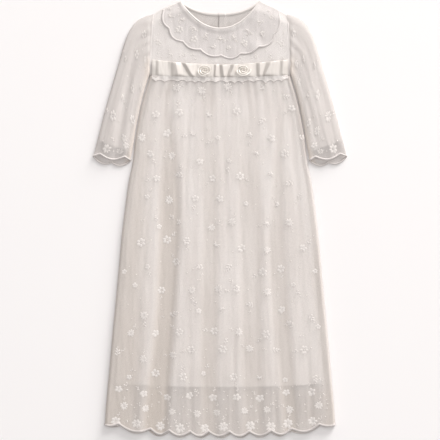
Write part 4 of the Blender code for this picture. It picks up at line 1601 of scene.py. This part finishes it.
def painted_light_beside_skirt(x, y):
    """Painted light: where the sleeve meets the skirt, the net's colour is painted lighter and warmer
    against the shade in the gap, and the net hides more of its lining.
    """
    inner_x = mix(UNDERARM_X, CUFF_INNER_X, max(UNDERARM_Y - y, 0.0) / (UNDERARM_Y - CUFF_Y))
    below_underarm = ease((UNDERARM_Y + 40 * MM - y) / (30 * MM))
    return SLEEVE_PAINTED_LIGHT * bump((abs(x) - inner_x) / SLEEVE_PAINTED_LIGHT_REACH) * below_underarm


def make_sleeve(side, name, looks):
    def lace(share, along):
        return sleeve_surface(side, share, along)

    def lining(share, along):
        down = along * (LAST_SECTION - 1) / LAST_SECTION
        return sleeve_surface(side, share, down, LINING_UNDER_LACE, LINING_EDGE_INSET)

    def cuff(share):
        point = sleeve_surface(side, min(share, 0.99999), 1.0)
        point.z = max(point.z, CUFF_CORD + 0.1 * MM)
        return point

    tube = {"closed": True, "flip": side < 0}
    lace_name, lining_name = f"sleeve_{name}_lace", f"sleeve_{name}_lining"
    net, plain = looks["sleeve"], looks["lining"]
    piece = cloth(lace_name, net, "lace", 140, 100, lace, SLEEVE_CUT, shade=painted_light_beside_skirt, **tube)
    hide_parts(f"sleeve_{name}")
    lining_piece = cloth(lining_name, plain, "lining", 80, 60, lining, SLEEVE_LINING_CUT, **tube)
    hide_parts(f"sleeve_lining_{name}")
    rim = cord(f"cuff_cord_{name}", looks["edging"], cuff, CUFF_CORD, 150)
    flowers = embroider_sleeve(side, name, looks)


def sleeve_places(seed):
    """Flowers with a twig and a dot each, in five rows of two, and the cuff's own."""
    chance = random.Random(seed)
    made = []
    for row in range(5):
        for column in range(2):
            p = -0.45 + 0.85 * column + (0.3 if row % 2 else -0.1) + chance.uniform(-0.12, 0.12)
            q = 0.10 + 0.16 * row + 0.05 * column + chance.uniform(-0.03, 0.03)
            kind = chance.choice(FLOWERS)
            made.append(Placed(kind, p, q, chance.uniform(0, 6.28), chance.uniform(0.85, 1.0)))
            away = chance.uniform(0, 6.28)
            made.append(Placed("twig", p + 0.26 * math.cos(away), q + 0.03 * math.sin(away), away, 0.8))
            made.append(Placed("dot", p + 0.4, q + chance.uniform(-0.06, 0.06), 0.0, 1.0))
    for p, q, kind in CUFF_FLOWERS:
        made.append(Placed(kind, p, q, chance.uniform(0, 6.28), 0.95))
    made.append(Placed("dot", 0.0, 0.95, 0.0, 1.3))
    made.append(Placed("dot", -0.7, 0.9, 0.0, 1.3))
    return made


def embroider_sleeve(side, name, looks):
    def moved(p, q, a, b):
        """The place on the sleeve a metres across and b metres up from a place on it."""
        half = sleeve_frame(q)[2]
        return min(max(p + a / half, -0.97), 0.97), min(max(q - b / SLEEVE_LENGTH, 0.0), 1.0)

    def on_top(p, q, a, b, height):
        across, down = moved(p, q, a, b)
        return sleeve_top(side, across, down) + UP * height

    def on_under(p, q, a, b, height):
        across, down = moved(p, q, a, b)
        point = sleeve_top(side, 0.9 * across, down)
        under = sleeve_at(down, "base") * MM + SLEEVE_UNDER_Z - WRONG_SIDE_SHARE * height
        return Vector((point.x, point.y, max(under, LOWEST_STITCH)))

    return [
        embroidery(f"embroidery_sleeve_{name}", looks, sleeve_places(21 + side), on_top),
        embroidery(f"embroidery_sleeve_{name}_under", looks, sleeve_places(31 + side), on_under),
    ]


# The buttons

# A button's outline from the middle of its face round to the middle of its foot, as shares of its radius
# and thickness
BUTTON_OUTLINE = ((0.0, 0.25), (0.5, 0.25), (0.72, 0.1), (0.9, 0.0), (1.0, 0.35), (0.95, 1.0), (0.0, 1.0))


def make_button(number, looks):
    low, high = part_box(f"button_{number}")
    x, y = (low[0] + high[0]) / 2, (low[1] + high[1]) / 2
    radius, thick = (high[0] - low[0]) / 2, high[2] - low[2]
    shape = bmesh.new()
    points = [shape.verts.new((x + radius * out, y, low[2] + thick * up)) for out, up in BUTTON_OUTLINE]
    lines = [shape.edges.new(pair) for pair in zip(points, points[1:])]
    bmesh.ops.spin(
        shape,
        geom=points + lines,
        cent=(x, y, 0.0),
        axis=UP,
        angle=2 * math.pi,
        steps=28,
        use_merge=True,
    )
    bmesh.ops.remove_doubles(shape, verts=shape.verts[:], dist=MERGE)
    bmesh.ops.recalc_face_normals(shape, faces=shape.faces[:])
    piece = finish_piece(shape, f"button_{number}_pearl", looks["pearl"])
    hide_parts(f"button_{number}")


# The surface, light and camera

SURFACE_HALF = 4.0
SURFACE_COLOUR = (0.93, 0.902, 0.90)


def make_stage():
    shape = bmesh.new()
    bmesh.ops.create_grid(shape, x_segments=1, y_segments=1, size=SURFACE_HALF)
    mesh = stored(shape, "surface")
    mesh.materials.append(finish("pale surface", SURFACE_COLOUR, 0.9))
    floor = bpy.data.objects.new("surface", mesh)
    bpy.context.scene.collection.objects.link(floor)


# The square lamps, all aimed at the middle of the dress: places and sizes in metres, power in watts
Lamp = namedtuple("Lamp", "name place size power colour")
LAMPS = [
    Lamp("key light", (3.68, 6.40, 3.04), 4.2, 530.0, (1.0, 0.99, 0.98)),
    Lamp("low light", (4.16, 6.72, 1.36), 2.6, 360.0, (1.0, 0.99, 0.98)),
    Lamp("top light", (0.0, 0.1, 3.0), 3.0, 26.0, (1.0, 0.995, 0.99)),
]
WORLD_COLOUR = (1.0, 0.985, 0.975, 1.0)
WORLD_STRENGTH = 0.455


def add_lamp(lamp):
    light = bpy.data.lights.new(lamp.name, "AREA")
    light.shape = "SQUARE"
    light.size = lamp.size
    light.energy = lamp.power
    light.color = lamp.colour
    holder = bpy.data.objects.new(lamp.name, light)
    holder.location = lamp.place
    holder.rotation_euler = (-Vector(lamp.place)).to_track_quat("-Z", "Y").to_euler()
    bpy.context.scene.collection.objects.link(holder)


def make_lights():
    for lamp in LAMPS:
        add_lamp(lamp)
    world = bpy.data.worlds.new("studio")
    world.use_nodes = True
    world.node_tree.nodes["Background"].inputs["Color"].default_value = WORLD_COLOUR
    world.node_tree.nodes["Background"].inputs["Strength"].default_value = WORLD_STRENGTH
    bpy.context.scene.world = world


SENSOR = 36.0
CAMERA_HEIGHT = 3.2
CAMERA_Y = -0.0004
# The width of what the picture shows at the height of the cloth
PICTURE_SPAN = 0.704
CLOTH_Z = 0.008


def make_camera():
    lens = bpy.data.cameras.new("camera")
    lens.sensor_width = SENSOR
    lens.lens = SENSOR * (CAMERA_HEIGHT - CLOTH_Z) / PICTURE_SPAN
    camera = bpy.data.objects.new("camera", lens)
    camera.location = (0.0, CAMERA_Y, CAMERA_HEIGHT)
    bpy.context.scene.collection.objects.link(camera)
    bpy.context.scene.camera = camera


def main():
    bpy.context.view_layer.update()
    bpy.context.scene.view_settings.view_transform = "Standard"
    looks = make_materials()
    looks["motifs"] = make_motifs()
    make_lining(looks)
    make_skirt(looks)
    make_yoke(looks)
    make_collar(looks)
    make_ribbon(looks)
    make_frill(looks)
    make_sleeves(looks)
    for number in (1, 2, 3):
        make_button(number, looks)
    make_stage()
    make_lights()
    make_camera()


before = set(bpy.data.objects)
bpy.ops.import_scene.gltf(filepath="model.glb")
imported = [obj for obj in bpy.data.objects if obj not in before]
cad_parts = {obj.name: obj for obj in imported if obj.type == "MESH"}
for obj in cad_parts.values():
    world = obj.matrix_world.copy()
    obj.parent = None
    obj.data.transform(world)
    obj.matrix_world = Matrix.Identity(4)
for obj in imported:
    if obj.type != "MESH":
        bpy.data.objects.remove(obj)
main()
